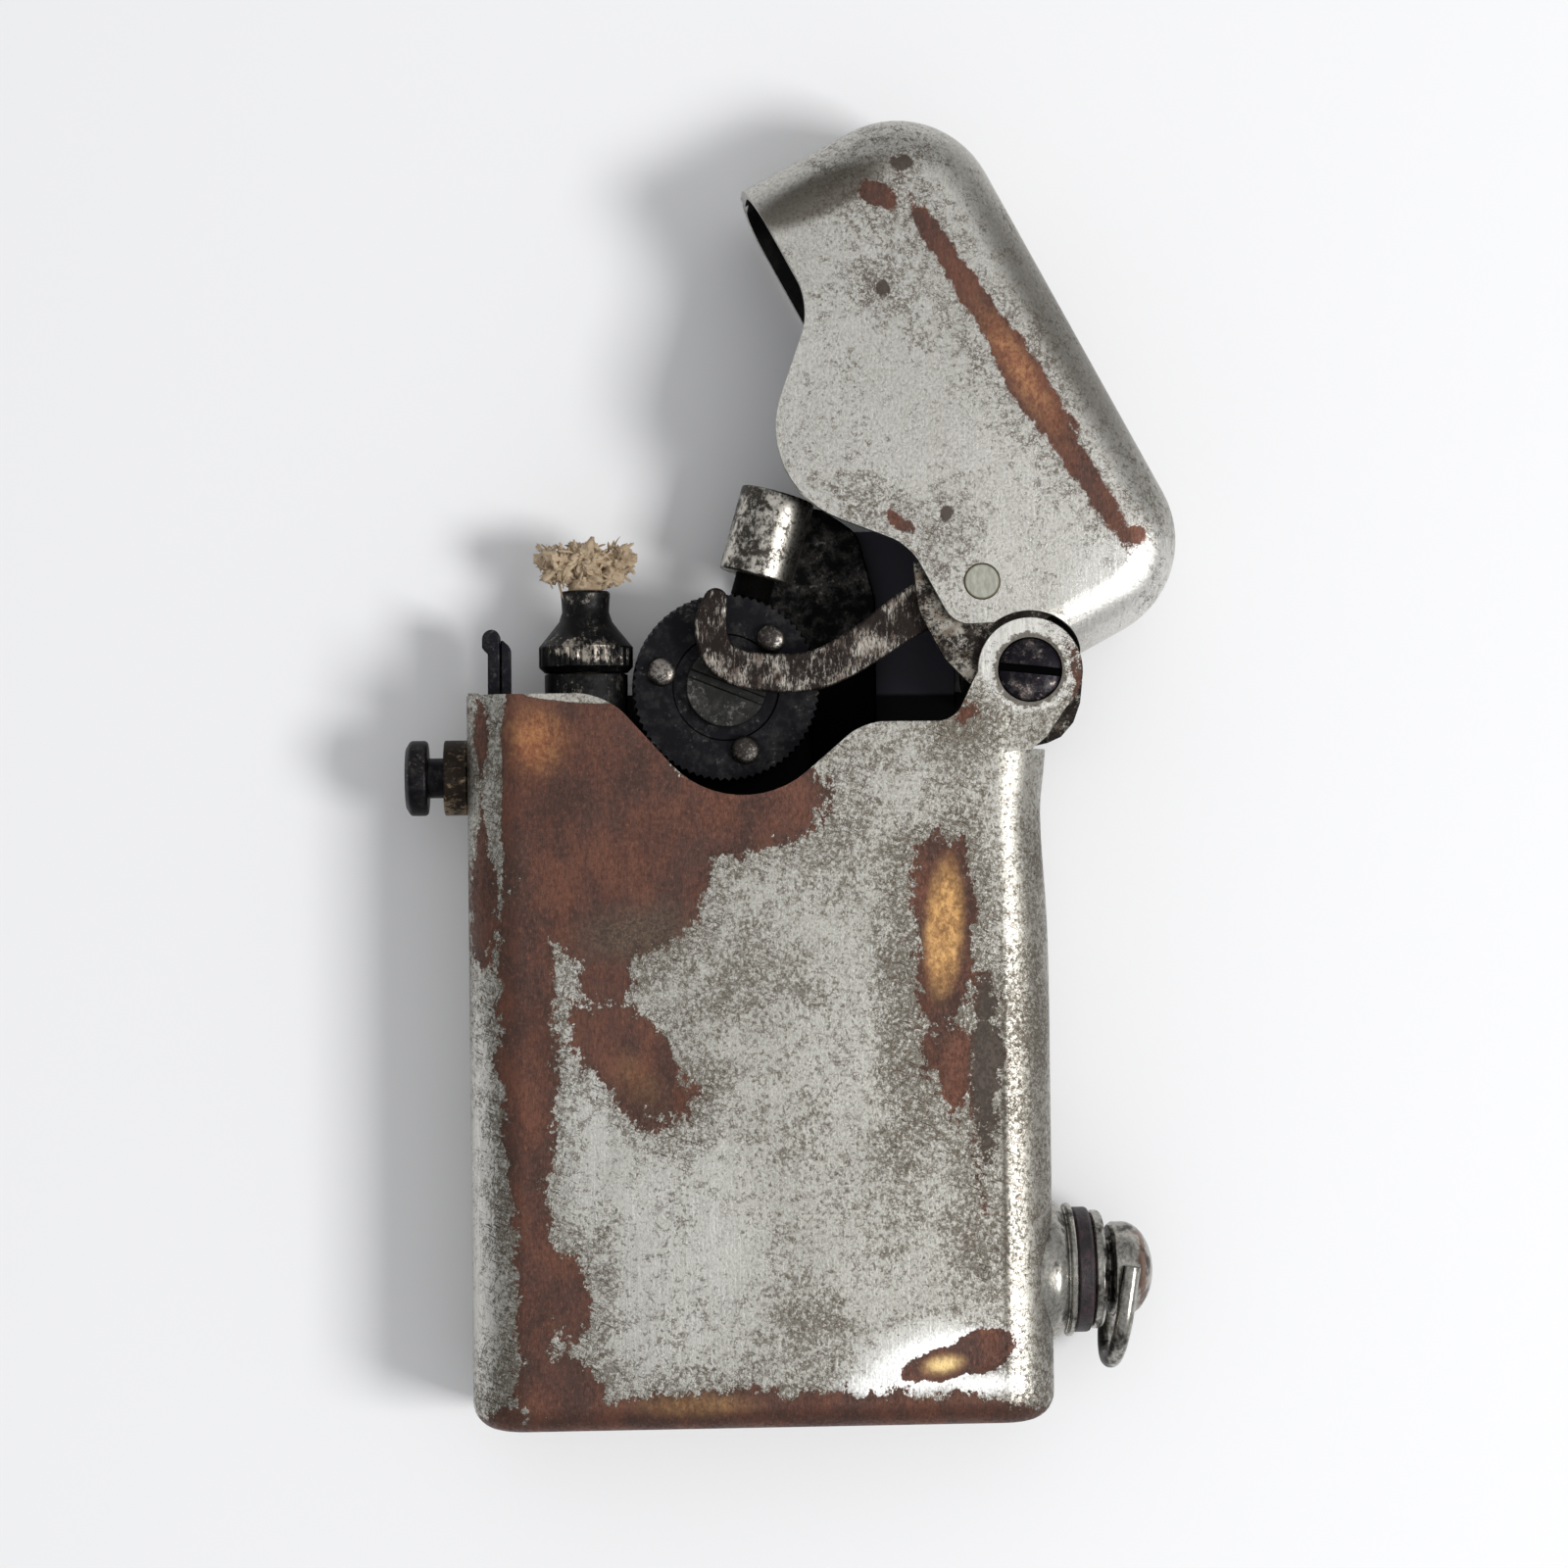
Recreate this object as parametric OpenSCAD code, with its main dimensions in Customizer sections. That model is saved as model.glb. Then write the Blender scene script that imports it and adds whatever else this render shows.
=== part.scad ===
// Automatic petrol lighter with a spring lid, lying on its back with the lid open.
// Origin: centre of the case's flat back. +X to the hinge side, +Y to the lid, +Z out of the front.

/* [Case] */
// Width of the case
case_w = 36; // [34:0.5:40]
// Thickness of the case and the lid
case_t = 11; // [10.6:0.1:12]
// Height of the hinge screw above the base
hinge_h = 46.4; // [44:0.2:50]
// Thickness of the drawn brass sheet
wall = 0.6; // [0.5:0.05:0.7]
// Rounding of the long edges, front and back
edge_r = 3.4; // [3:0.1:4]
// Corner radius of the base, seen from the front
base_r = 2.1; // [2:0.1:3]
// Rounding of the base's front and back edges
base_edge_r = 1.6; // [1.2:0.1:1.7]
// Depth of the scoop for the wheel, below the hinge
scoop_d = 9.9; // [9:0.1:10.5]

/* [Lid] */
// Angle of the open lid
lid_open = 61.5; // [55:0.5:65]
// Height of the lid above the hinge
lid_h = 13.1; // [12.9:0.1:15]
// Corner radius of the lid, seen from the front
lid_corner_r = 6.3; // [5:0.1:7]
// Distance from the hinge to the hinge end of the lid
lid_end = 0.7; // [0.5:0.1:1]
// Gap between the lid's front edge and the case's
lid_gap = 0.35; // [0.3:0.05:0.5]

/* [Hinge] */
// Distance from the hinge to the case's right side
hinge_inset = 1.3; // [1:0.1:1.6]
// Radius of the two ears that carry the hinge screw
ear_r = 3.2; // [3:0.1:3.4]
// Radius of the hinge screw's head
hinge_head_r = 1.95; // [1.7:0.05:2.1]
// Radius of the hinge screw's shank
hinge_shank_r = 1.2; // [1:0.05:1.3]

/* [Spark wheel] */
// Distance from the hinge to the wheel's axle
wheel_u = 18.6; // [18.4:0.1:18.8]
// Depth of the wheel's axle below the hinge
wheel_v = 0.75; // [0.6:0.05:0.9]
// Radius of the file-cut rim
wheel_r = 5.85; // [5.6:0.05:5.9]
// Width of the wheel
wheel_t = 3.5; // [3:0.1:3.6]
// Number of teeth on the rim
wheel_teeth = 60; // [40:1:72]
// Radius of the circle of drive pins
pin_circle_r = 4.1; // [3.9:0.1:4.3]
// Radius of a drive pin
pin_r = 0.9; // [0.7:0.05:0.95]

/* [Flint holder] */
// Angle of the flint tube, from the wheel's axle
flint_angle = 74; // [73:0.5:75]
// Outer radius of the rolled tube
flint_tube_r = 2.35; // [2.2:0.05:2.4]
// Length of the rolled tube
flint_tube_len = 5.4; // [5:0.1:5.5]
// Radius of the flint
flint_r = 1.25; // [1:0.05:1.3]
// Length of the flint
flint_len = 3; // [2.5:0.1:3.2]

/* [Burner] */
// Distance from the hinge to the burner's axis
burner_u = 27.3; // [27.2:0.05:27.5]
// Radius of the burner tube
burner_r = 2.6; // [2.3:0.05:2.65]
// Radius of the knurled collar
collar_r = 2.95; // [2.8:0.05:3]
// Radius of the nozzle
nozzle_r = 1.55; // [1.4:0.05:1.7]
// Radius of the wick
wick_r = 1.1; // [0.9:0.05:1.15]

/* [Tank] */
// Depth of the tank's top plate below the hinge
tank_v = 13.4; // [13:0.1:15]
// Thickness of the tank's top plate
tank_plate_t = 0.8; // [0.6:0.05:1]

/* [Filler] */
// Height of the filler's axis above the base
filler_h = 8.9; // [8:0.1:12]
// Radius of the filler boss where it meets the case
boss_r = 4.5; // [4.3:0.1:4.7]
// Radius of the leather gasket
gasket_r = 3.9; // [3.7:0.05:4]
// Thickness of the leather gasket
gasket_t = 1.1; // [0.9:0.05:1.3]
// Radius of the filler screw's thread
thread_r = 1.9; // [1.6:0.05:2]
// Radius of the filler screw's domed head
dome_r = 2.95; // [2.7:0.05:3.1]
// Radius of the bail's wire
bail_wire_r = 0.55; // [0.45:0.05:0.6]

/* [Button and latch] */
// Depth of the button's axis below the hinge
button_v = 6.2; // [6:0.1:6.6]
// Radius of the button's head and of its bush
button_r = 2.35; // [2:0.05:2.5]
// Radius of the button's stem
stem_r = 1.25; // [1:0.05:1.4]
// Width of the latch, front to back
latch_w = 2.6; // [2:0.1:3]

/* [Hidden] */
$fn = 48;

// Small distances shared by the fits
fit_gap = 0.05;
run_gap = 0.1;
free_gap = 0.3;
eps = 0.01;

// Places worked out from the case
case_back_v = -0.9;
shoulder_v = -1.2;
hinge_shoulder_v = -3.1;
mid_z = case_t / 2;
hinge_x = case_w / 2 - hinge_inset;
hinge_y = hinge_h - 23;
base_y = -23;
lid_w = case_w - hinge_inset + lid_end;
lid_back_v = case_back_v + free_gap;
stop_v = -4.85;
ear_step = 0.03;
ear_foot = 2.7;
past_part = 50;

// Layers of the mechanism, counted from the back of the case
plate_z = 1.0;
plate_t = 0.6;
wheel_z = mid_z - wheel_t / 2;
wheel_top = wheel_z + wheel_t;
flint_z = mid_z - 0.2;
arm_t = 0.6;
arm_z = flint_z - flint_tube_r - arm_t;
pin_h = 0.75;
claw_z = wheel_top + pin_h + run_gap;
claw_t = 1.3;
leaf_t = 0.7;
leaf_z = case_t - wall - run_gap - leaf_t;

// Outlines with round corners: each entry is [x, y, radius]
function flat2(p) = [p[0], p[1]];
function unit(v) = v / norm(v);
function turned(v, a) = [v[0] * cos(a) - v[1] * sin(a), v[0] * sin(a) + v[1] * cos(a)];
function corner_arc(a, b, c, r, n) =
    r <= 0 ? [b] :
    let (p = unit(a - b), q = unit(c - b), half = acos(p * q) / 2, m = b + unit(p + q) * r / sin(half),
        s = b + p * r / tan(half) - m, e = b + q * r / tan(half) - m, way = cross(s, e) > 0 ? 1 : -1)
    [for (i = [0:n]) m + turned(s, way * (180 - 2 * half) * i / n)];
function rounded(pts, n = 8) =
    let (k = len(pts))
    [for (i = [0:k - 1]) each corner_arc(flat2(pts[(i + k - 1) % k]), flat2(pts[i]), flat2(pts[(i + 1) % k]),
        pts[i][2], n)];

// A flat ribbon of varying half width along a line: each entry is [x, y, half width]
function tangent(p, i) =
    unit(flat2(p[min(i + 1, len(p) - 1)]) - flat2(p[max(i - 1, 0)]));
function side(p, way) =
    [for (i = [0:len(p) - 1]) let (t = tangent(p, i)) flat2(p[i]) + way * p[i][2] * [-t[1], t[0]]];
function ribbon(p) = concat(side(p, 1), [for (q = [len(p) - 1:-1:0]) side(p, -1)[q]]);
function blend(p0, p1, p2, p3, s) =
    0.5 * (2 * p1 + (p2 - p0) * s + (2 * p0 - 5 * p1 + 4 * p2 - p3) * s * s
        + (3 * p1 - p0 - 3 * p2 + p3) * s * s * s);
function smooth(p, n = 5) =
    let (k = len(p) - 1)
    concat([for (i = [0:k - 1]) for (j = [0:n - 1])
        blend(p[max(i - 1, 0)], p[i], p[i + 1], p[min(i + 2, k)], j / n)], [p[k]]);

module at_hinge() translate([hinge_x, hinge_y, 0]) children();
module in_lid() at_hinge() rotate([0, 0, -lid_open]) children();
module slab(z, t) translate([0, 0, z]) linear_extrude(t) children();

// A drawn box, closed at y0 and open at y1: edge rounds its long edges, end its closed end's edges
module drawn_box(x0, x1, y0, y1, z0, z1, corner, edge, end) {
    steps = 6;
    hull() for (i = [0:steps]) {
        a = 90 * i / steps;
        inset = edge * (1 - cos(a));
        end_inset = end * (1 - cos(a));
        low = z0 + edge * (1 - sin(a));
        high = z1 - edge * (1 - sin(a)) - eps;
        r = corner - end_inset;
        way = y1 > y0 ? 1 : -1;
        for (z = [low, high]) {
            for (x = [x0 + inset + r, x1 - inset - r])
                translate([x, y0 + way * (end_inset + r), z]) cylinder(r = r, h = eps, $fn = 24);
            translate([x0 + inset, min(y1, y1 - way * eps), z]) cube([x1 - x0 - 2 * inset, eps, eps]);
        }
    }
}

// A coil spring of round wire, standing on z = 0
module coil(r, wire, turns, h) {
    sides = 6;
    per_turn = 12;
    n = turns * per_turn;
    points = [for (i = [0:n]) let (a = 360 * i / per_turn, z = wire + (h - 2 * wire) * i / n)
        for (j = [0:sides - 1]) let (b = 360 * j / sides, q = r + wire * cos(b))
            [q * cos(a), q * sin(a), z + wire * sin(b)]];
    faces = concat(
        [for (i = [0:n - 1]) for (j = [0:sides - 1]) let (k = (j + 1) % sides)
            [i * sides + j, i * sides + k, (i + 1) * sides + k]],
        [for (i = [0:n - 1]) for (j = [0:sides - 1]) let (k = (j + 1) % sides)
            [i * sides + j, (i + 1) * sides + k, (i + 1) * sides + j]],
        [for (j = [1:sides - 2]) [0, j + 1, j]],
        [for (j = [1:sides - 2]) [n * sides, n * sides + j, n * sides + j + 1]]);
    polyhedron(points = points, faces = [for (f = faces) [f[0], f[2], f[1]]]);
}

// The case

// Front edge of the case: the shoulder, the scoop for the wheel, and the foot of the ear
function front_edge(up, far) = rounded([[-far, shoulder_v + up, 0], [-26.1, shoulder_v + up, 4],
    [-18.24, up - scoop_d, 6], [-10.3, hinge_shoulder_v + up, 3.4], [-4.7, hinge_shoulder_v + up, 1.6],
    [-2.6, 1.2 + up, 0], [-2.6, far, 0], [-far, far, 0]]);

module case_front_cut() {
    polygon(front_edge(0, past_part));
    polygon([[-ear_foot, 1.2], [0, -1.6], [past_part, -1.6], [past_part, past_part], [-ear_foot, past_part]]);
}

module case_shell() {
    color("#a9a99b")
    difference() {
        union() {
            difference() {
                drawn_box(-case_w / 2, case_w / 2, base_y, hinge_y + 2, 0, case_t, base_r, edge_r, base_edge_r);
                drawn_box(-case_w / 2 + wall, case_w / 2 - wall, base_y + wall, hinge_y + 3, wall,
                    case_t - wall, base_r - wall, edge_r - wall, base_edge_r - wall);
                at_hinge() slab(mid_z, case_t) case_front_cut();
                at_hinge() translate([-50, case_back_v, -1]) cube([60, 20, mid_z + 1 + eps]);
                at_hinge() translate([-2, stop_v, wall]) cube([6, 10, case_t - 2 * wall]);
            }
            at_hinge() for (z = [ear_step, case_t - wall - ear_step]) translate([0, 0, z])
                cylinder(r = ear_r, h = wall);
            at_hinge() translate([-3, -4, ear_step]) cube([2.5, 3.2, wall]);
        }
        at_hinge() translate([0, 0, case_t - 2 * wall]) cylinder(r = hinge_head_r + fit_gap, h = 3);
        at_hinge() translate([0, 0, -1]) cylinder(r = hinge_shank_r, h = 3);
        translate([-case_w / 2 - 1, hinge_y - button_v, mid_z]) rotate([0, 90, 0])
            cylinder(r = button_r - 0.4, h = 3);
        translate([case_w / 2 - 2, base_y + filler_h, mid_z]) rotate([0, 90, 0])
            cylinder(r = boss_r, h = 3);
    }
}

module rounded_section(w, t, r) {
    square([w - 2 * r, t], center = true);
    square([w, t - 2 * r], center = true);
    for (x = [-1, 1]) for (y = [-1, 1]) translate([x * (w / 2 - r), y * (t / 2 - r)]) circle(r = r);
}

module tank_plate() {
    color("#4b4a48")
    difference() {
        union() {
            translate([0, hinge_y - tank_v, mid_z]) rotate([90, 0, 0]) linear_extrude(tank_plate_t)
                rounded_section(case_w - 2 * wall, case_t - 2 * wall, edge_r - wall + run_gap);
            for (s = [-1, 1]) translate([latch_x - 0.9, hinge_y - tank_v, mid_z + s * (latch_w / 2 + 0.5) - 0.35])
                cube([1.8, 1.8, 0.7]);
        }
        translate([hinge_x - burner_u, hinge_y, mid_z]) rotate([90, 0, 0]) cylinder(r = burner_r, h = 30);
        translate([latch_x, latch_pivot_y, -1]) cylinder(r = latch_pin_r, h = case_t + 2);
    }
}

module cotton_wadding() {
    color("#d9d2c0")
    difference() {
        translate([0, hinge_y - tank_v - tank_plate_t - free_gap, mid_z]) rotate([90, 0, 0])
            linear_extrude(hinge_h - tank_v - tank_plate_t - wall - 2 * free_gap - 2)
                rounded_section(case_w - 2 * wall - 2 * free_gap, case_t - 2 * wall - 2 * free_gap, 2.4);
        translate([hinge_x - burner_u, hinge_y - tank_v, mid_z]) rotate([90, 0, 0])
            cylinder(r = burner_r + free_gap, h = tube_below + 1);
        translate([case_w / 2 - 5, base_y + filler_h, mid_z]) rotate([0, 90, 0])
            cylinder(r = thread_r + 1.2, h = 8);
        translate([case_w / 2 - boss_seat - free_gap, base_y + filler_h, mid_z]) rotate([0, 90, 0])
            cylinder(r = boss_r + free_gap, h = 3);
    }
}

// The filler in the case's right side

boss_len = 1.0;
boss_seat = 1.15;
flange_t = 0.4;
screw_disc_t = 0.8;
filler_seat = boss_len + flange_t;

module on_filler() translate([case_w / 2, base_y + filler_h, mid_z]) rotate([0, 90, 0]) children();

module filler_boss() {
    color("#8d8a7c")
    on_filler() difference() {
        union() {
            rotate_extrude() polygon([[0, -wall - 1.6], [thread_r + 0.9, -wall - 1.6], [thread_r + 0.9, -boss_seat],
                [boss_r, -boss_seat], [boss_r, 0], [gasket_r + 0.35, boss_len * 0.45],
                [gasket_r - 0.05, boss_len], [gasket_r + 0.25, boss_len], [gasket_r + 0.25, filler_seat],
                [0, filler_seat]]);
        }
        translate([0, 0, -wall - 2]) cylinder(r = thread_r + fit_gap, h = wall + filler_seat + 3);
    }
}

module filler_gasket() {
    color("#3b2226")
    on_filler() translate([0, 0, filler_seat]) difference() {
        cylinder(r = gasket_r, h = gasket_t);
        translate([0, 0, -1]) cylinder(r = thread_r + fit_gap, h = gasket_t + 2);
    }
}

screw_base = filler_seat + gasket_t;
neck_len = 0.45;
collar_base = screw_base + screw_disc_t + neck_len;
bail_x = collar_base + 0.95;
bail_half = dome_r + bail_wire_r + 0.1;
bail_tilt = 9;
bail_leg = 2.1;
bail_end_r = 0.4;

module filler_screw() {
    color("#9b988a")
    on_filler() difference() {
        union() {
            translate([0, 0, -3]) cylinder(r = thread_r, h = screw_base + 3);
            rotate_extrude() polygon([[0, screw_base], [3.5, screw_base], [3.7, screw_base + 0.2],
                [3.7, screw_base + 0.6], [3.5, screw_base + screw_disc_t], [0, screw_base + screw_disc_t]]);
            translate([0, 0, screw_base]) cylinder(r = 2.1, h = screw_disc_t + neck_len);
            rotate_extrude() polygon(concat([[0, collar_base], [2.75, collar_base], [dome_r, collar_base + 0.25],
                [dome_r, collar_base + 0.9]],
                [for (a = [10:10:90]) [dome_r * cos(a), collar_base + 0.9 + 1.9 * sin(a)]]));
        }
        rotate([0, 0, -20]) translate([-0.3, -5, collar_base + 2]) cube([0.6, 10, 2]);
        for (s = [0, 180]) rotate([0, 0, s]) translate([0, 0, bail_x]) rotate([0, 90, 0])
            cylinder(r = bail_end_r + fit_gap, h = 4);
    }
}

module filler_bail() {
    color("#8f8c80")
    translate([case_w / 2 + bail_x, base_y + filler_h, mid_z]) rotate([0, 0, -bail_tilt]) {
        for (s = [-1, 1]) {
            translate([0, 0, s > 0 ? 2.2 : -bail_half]) cylinder(r = bail_end_r, h = bail_half - 2.2);
            translate([0, bail_wire_r, s * bail_half]) rotate([90, 0, 0])
                cylinder(r = bail_wire_r, h = bail_leg + bail_wire_r);
        }
        translate([0, -bail_leg, 0]) rotate([0, -90, 0]) rotate([0, 0, 180]) rotate_extrude(angle = 180)
            translate([bail_half, 0]) circle(r = bail_wire_r);
    }
}

// The fixed part of the mechanism

plate_far = 24;
plate_near = 3.75;
plate_top = 9.4;

module mechanism_plate() {
    color("#2b2b30")
    at_hinge() slab(plate_z, plate_t)
        polygon(rounded([[-plate_far, -tank_v, 0], [-plate_far, -4, 3], [-wheel_u + 2.6, 4, 2],
            [-wheel_u + 7.6, plate_top, 1.5], [-plate_near - 1.65, plate_top, 1.5],
            [-plate_near, plate_top - 2.9, 1.5], [-plate_near, -tank_v, 0]]));
}

bearing_r = 1.2;
screw_hole_r = 0.6;

module at_wheel() at_hinge() translate([-wheel_u, -wheel_v, 0]) children();

module wheel_post() {
    color("#3a3835")
    at_wheel() difference() {
        union() {
            translate([0, 0, plate_z + plate_t]) cylinder(r = 1.7, h = wheel_z - run_gap - plate_z - plate_t);
            translate([0, 0, plate_z + plate_t]) cylinder(r = bearing_r, h = wheel_top + run_gap - plate_z - plate_t);
        }
        translate([0, 0, plate_z + plate_t + 1]) cylinder(r = screw_hole_r, h = 10);
    }
}

module wheel_screw() {
    color("#3d3f3e")
    at_wheel() difference() {
        union() {
            translate([0, 0, wheel_top + run_gap]) cylinder(r = 2.5, h = 0.55);
            translate([0, 0, wheel_z]) cylinder(r = screw_hole_r, h = wheel_t + run_gap);
        }
        rotate([0, 0, -21.5]) translate([-4, -0.25, wheel_top + run_gap + 0.25]) cube([8, 0.5, 1]);
    }
}

module spark_wheel() {
    color("#2a2928")
    at_wheel() difference() {
        translate([0, 0, wheel_z]) linear_extrude(wheel_t)
            polygon([for (i = [0:wheel_teeth - 1]) each [
                wheel_r * [cos(360 * i / wheel_teeth), sin(360 * i / wheel_teeth)],
                (wheel_r - 0.2) * [cos(360 * (i + 0.75) / wheel_teeth), sin(360 * (i + 0.75) / wheel_teeth)]]]);
        translate([0, 0, wheel_z - 1]) cylinder(r = bearing_r + fit_gap, h = wheel_t + 2);
    }
}

module wheel_pins() {
    color("#b5ada3")
    at_wheel() for (i = [0:2]) rotate([0, 0, 46.5 + 120 * i]) translate([pin_circle_r, 0, wheel_top])
        rotate_extrude() polygon(concat([[0, 0], [pin_r, 0], [pin_r, pin_h * 0.45]],
            [for (a = [20:20:90]) [pin_r * cos(a), pin_h * (0.45 + 0.55 * sin(a))]], [[0, pin_h]]));
}

// The flint holder, aimed at the wheel's axle

flint_foot = wheel_r + fit_gap;
tube_foot = 7.25;
plug_t = 0.7;

module on_flint() at_wheel() rotate([0, 0, flint_angle]) translate([0, 0, flint_z]) rotate([0, 90, 0]) children();

module flint_arm() {
    color("#252525")
    at_hinge() slab(arm_z, arm_t)
        polygon(rounded([[-18.1, 8.3, 0.6], [-15.6, 11.1, 1], [-12.2, 10.7, 1.6], [-10, 9.2, 2], [-8.9, 5, 2],
            [-8.9, -tank_v, 0], [-13, -tank_v, 0], [-13, -1, 3], [-16.6, 6, 2]]));
}

module flint_tube() {
    color("#8d877d")
    on_flint() translate([0, 0, tube_foot]) difference() {
        cylinder(r = flint_tube_r, h = flint_tube_len);
        translate([0, 0, -1]) cylinder(r = flint_r + fit_gap, h = flint_tube_len + 2);
    }
}

module flint_plug() {
    color("#7a6f58")
    on_flint() translate([0, 0, tube_foot + flint_tube_len - plug_t]) cylinder(r = flint_r + fit_gap, h = plug_t);
}

module flint_spring() {
    color("#6d6d6d")
    on_flint() translate([0, 0, flint_foot + flint_len + fit_gap])
        coil(0.9, 0.16, 4, tube_foot + flint_tube_len - plug_t - flint_foot - flint_len - 2 * fit_gap);
}

module flint() {
    color("#3a3330")
    on_flint() translate([0, 0, flint_foot]) cylinder(r = flint_r, h = flint_len);
}

// The burner

tube_below = 8;
tube_top_v = 0.2;
collar_v = 0.3;
collar_h = 1.9;
nozzle_v = 5.4;
knurls = 26;

module on_burner() at_hinge() translate([-burner_u, 0, mid_z]) rotate([-90, 0, 0]) children();

module burner_tube() {
    color("#35322f")
    on_burner() translate([0, 0, -tank_v - tube_below]) difference() {
        cylinder(r = burner_r, h = tank_v + tube_below + tube_top_v);
        translate([0, 0, -1]) cylinder(r = wick_r + 0.6, h = tank_v + tube_below + tube_top_v + 2);
    }
}

module burner_nozzle() {
    color("#302e2c")
    on_burner() difference() {
        rotate_extrude() polygon([[0, collar_v], [collar_r - 0.35, collar_v], [collar_r, collar_v + 0.35],
            [collar_r, collar_v + collar_h - 0.3], [collar_r - 0.25, collar_v + collar_h],
            [nozzle_r + 0.5, 3.0], [nozzle_r + 0.12, 3.5], [nozzle_r - 0.08, 4.1], [nozzle_r - 0.05, 4.7],
            [nozzle_r, nozzle_v - 0.15], [nozzle_r - 0.1, nozzle_v], [0, nozzle_v]]);
        translate([0, 0, -1]) cylinder(r = wick_r + fit_gap, h = 8);
        for (i = [0:knurls - 1]) rotate([0, 0, 360 * i / knurls])
            translate([collar_r + 0.08, 0, collar_v + 0.4]) cylinder(r = 0.2, h = collar_h - 0.8, $fn = 6);
    }
}

// The wick: a cord through the tube, with its charred end teased out
tuft = [[0, 6.15, 0, 1.3], [-1.7, 6.9, 0.4, 1.35], [1.5, 6.9, -0.3, 1.4], [0, 7.4, 0.3, 1.45],
    [-0.6, 7.7, -0.5, 1.2], [2.2, 7.5, 0.2, 1.1], [-2.3, 7.7, -0.2, 0.95]];

module wick() {
    color("#c9ab7c")
    union() {
        on_burner() translate([0, 0, -tank_v - tube_below]) cylinder(r = wick_r, h = tank_v + tube_below + 6.2);
        at_hinge() for (b = tuft) translate([b[0] - burner_u, b[1], mid_z + b[2]])
            hull() sphere(r = b[3], $fn = 16);
    }
}

// The claw that drives the wheel; its line runs from the hook's tip to the rivet, with the lid open

claw_pivot = [-2.9, 5.45];
claw_hole_r = 0.8;
claw_line = [[-19.25, 4.55, 0.75], [-19.55, 3.4, 0.95], [-19.5, 2.3, 1.0], [-19.0, 1.1, 1.05], [-18.0, 0.4, 1.12],
    [-16.6, 0.12, 1.15], [-14.9, 0.0, 1.2], [-13.1, 0.2, 1.22], [-11.5, 0.85, 1.25], [-9.9, 1.8, 1.28],
    [-8.4, 2.85, 1.35], [-6.6, 4.0, 1.45], [-4.7, 4.9, 1.5], [-2.9, 5.45, 1.5]];

module claw() {
    color("#9a8f84")
    at_hinge() difference() {
        union() {
            slab(claw_z, claw_t) polygon(ribbon(smooth(claw_line)));
            translate([claw_line[0][0], claw_line[0][1], claw_z]) cylinder(r = claw_line[0][2], h = claw_t);
            translate([claw_pivot[0], claw_pivot[1], claw_z]) cylinder(r = 1.7, h = claw_t);
        }
        translate([claw_pivot[0], claw_pivot[1], 0]) cylinder(r = claw_hole_r + fit_gap, h = case_t);
    }
}

rivet_head_r = 1.13;

module claw_rivet() {
    color("#b4b5a6")
    at_hinge() translate([claw_pivot[0], claw_pivot[1], 0]) {
        translate([0, 0, case_t - wall]) cylinder(r = rivet_head_r, h = wall + 0.06);
        translate([0, 0, claw_z - 0.1]) cylinder(r = claw_hole_r, h = case_t - wall - claw_z + 0.1);
        translate([0, 0, claw_z - 0.4]) cylinder(r = 1.3, h = 0.3);
    }
}

// Closed place of the claw's rivet, seen from the lid
claw_in_lid = turned(claw_pivot, lid_open);
spring_line = [[-2.2, 7.5, 0.15], [-3.6, 4.5, 0.15], [-3.95, 1.5, 0.15], [-4.3, -0.6, 0.15]];

module claw_spring() {
    color("#55534f")
    in_lid() {
        slab(claw_z + 0.2, claw_t - 0.4) polygon(ribbon(smooth(spring_line)));
        translate([spring_line[0][0], spring_line[0][1], claw_z + 0.2]) cylinder(r = 0.6, h = leaf_z - claw_z - 0.2);
    }
}

// The hinge

hub_r = 3.4;
hub_low = plate_z - 0.2;
hub_high = case_t - wall - 0.5;
hub_floor = 0.8;
spring_room_r = 2.9;

module hinge_bracket() {
    color("#4a4540")
    in_lid() difference() {
        union() {
            translate([0, 0, hub_low]) cylinder(r = hub_r, h = hub_high - hub_low);
            slab(leaf_z, leaf_t) difference() {
                polygon(rounded([[-9.3, -3.0, 0.3], [-6.5, -4.15, 3], [-3.2, -4.2, 3], [0, -3.3, 0.4], [0, 1.5, 0],
                    [-2.25, 2.4, 0], [-2.25, 8.5, 1], [-9.5, 8.5, 1], [-10.5, 1.5, 2]]));
                circle(r = 2.9);
            }
            slab(hub_low + 0.3, hub_high - hub_low - 0.9)
                polygon([for (q = [[2.6, 62], [3.5, 50], [3.85, 30], [4.3, 13], [4.6, -2], [4.65, -13], [3.2, -17],
                    [2.6, -20]]) q[0] * [cos(q[1]), sin(q[1])]]);
        }
        translate([0, 0, hub_low + hub_floor]) cylinder(r = spring_room_r, h = hub_high - hub_low - 2 * hub_floor);
        cylinder(r = hinge_shank_r + fit_gap, h = case_t + 1);
        translate([claw_in_lid[0], claw_in_lid[1], 5]) cylinder(r = claw_hole_r, h = 10);
        for (p = bracket_rivet_at) translate([p[0], p[1], 5]) cylinder(r = bracket_rivet_r, h = 10);
    }
}

module hinge_spring() {
    color("#6d6d6d")
    at_hinge() translate([0, 0, hub_low + hub_floor + run_gap])
        coil(2.1, 0.3, 6, hub_high - hub_low - 2 * hub_floor - 2 * run_gap);
}

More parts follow.
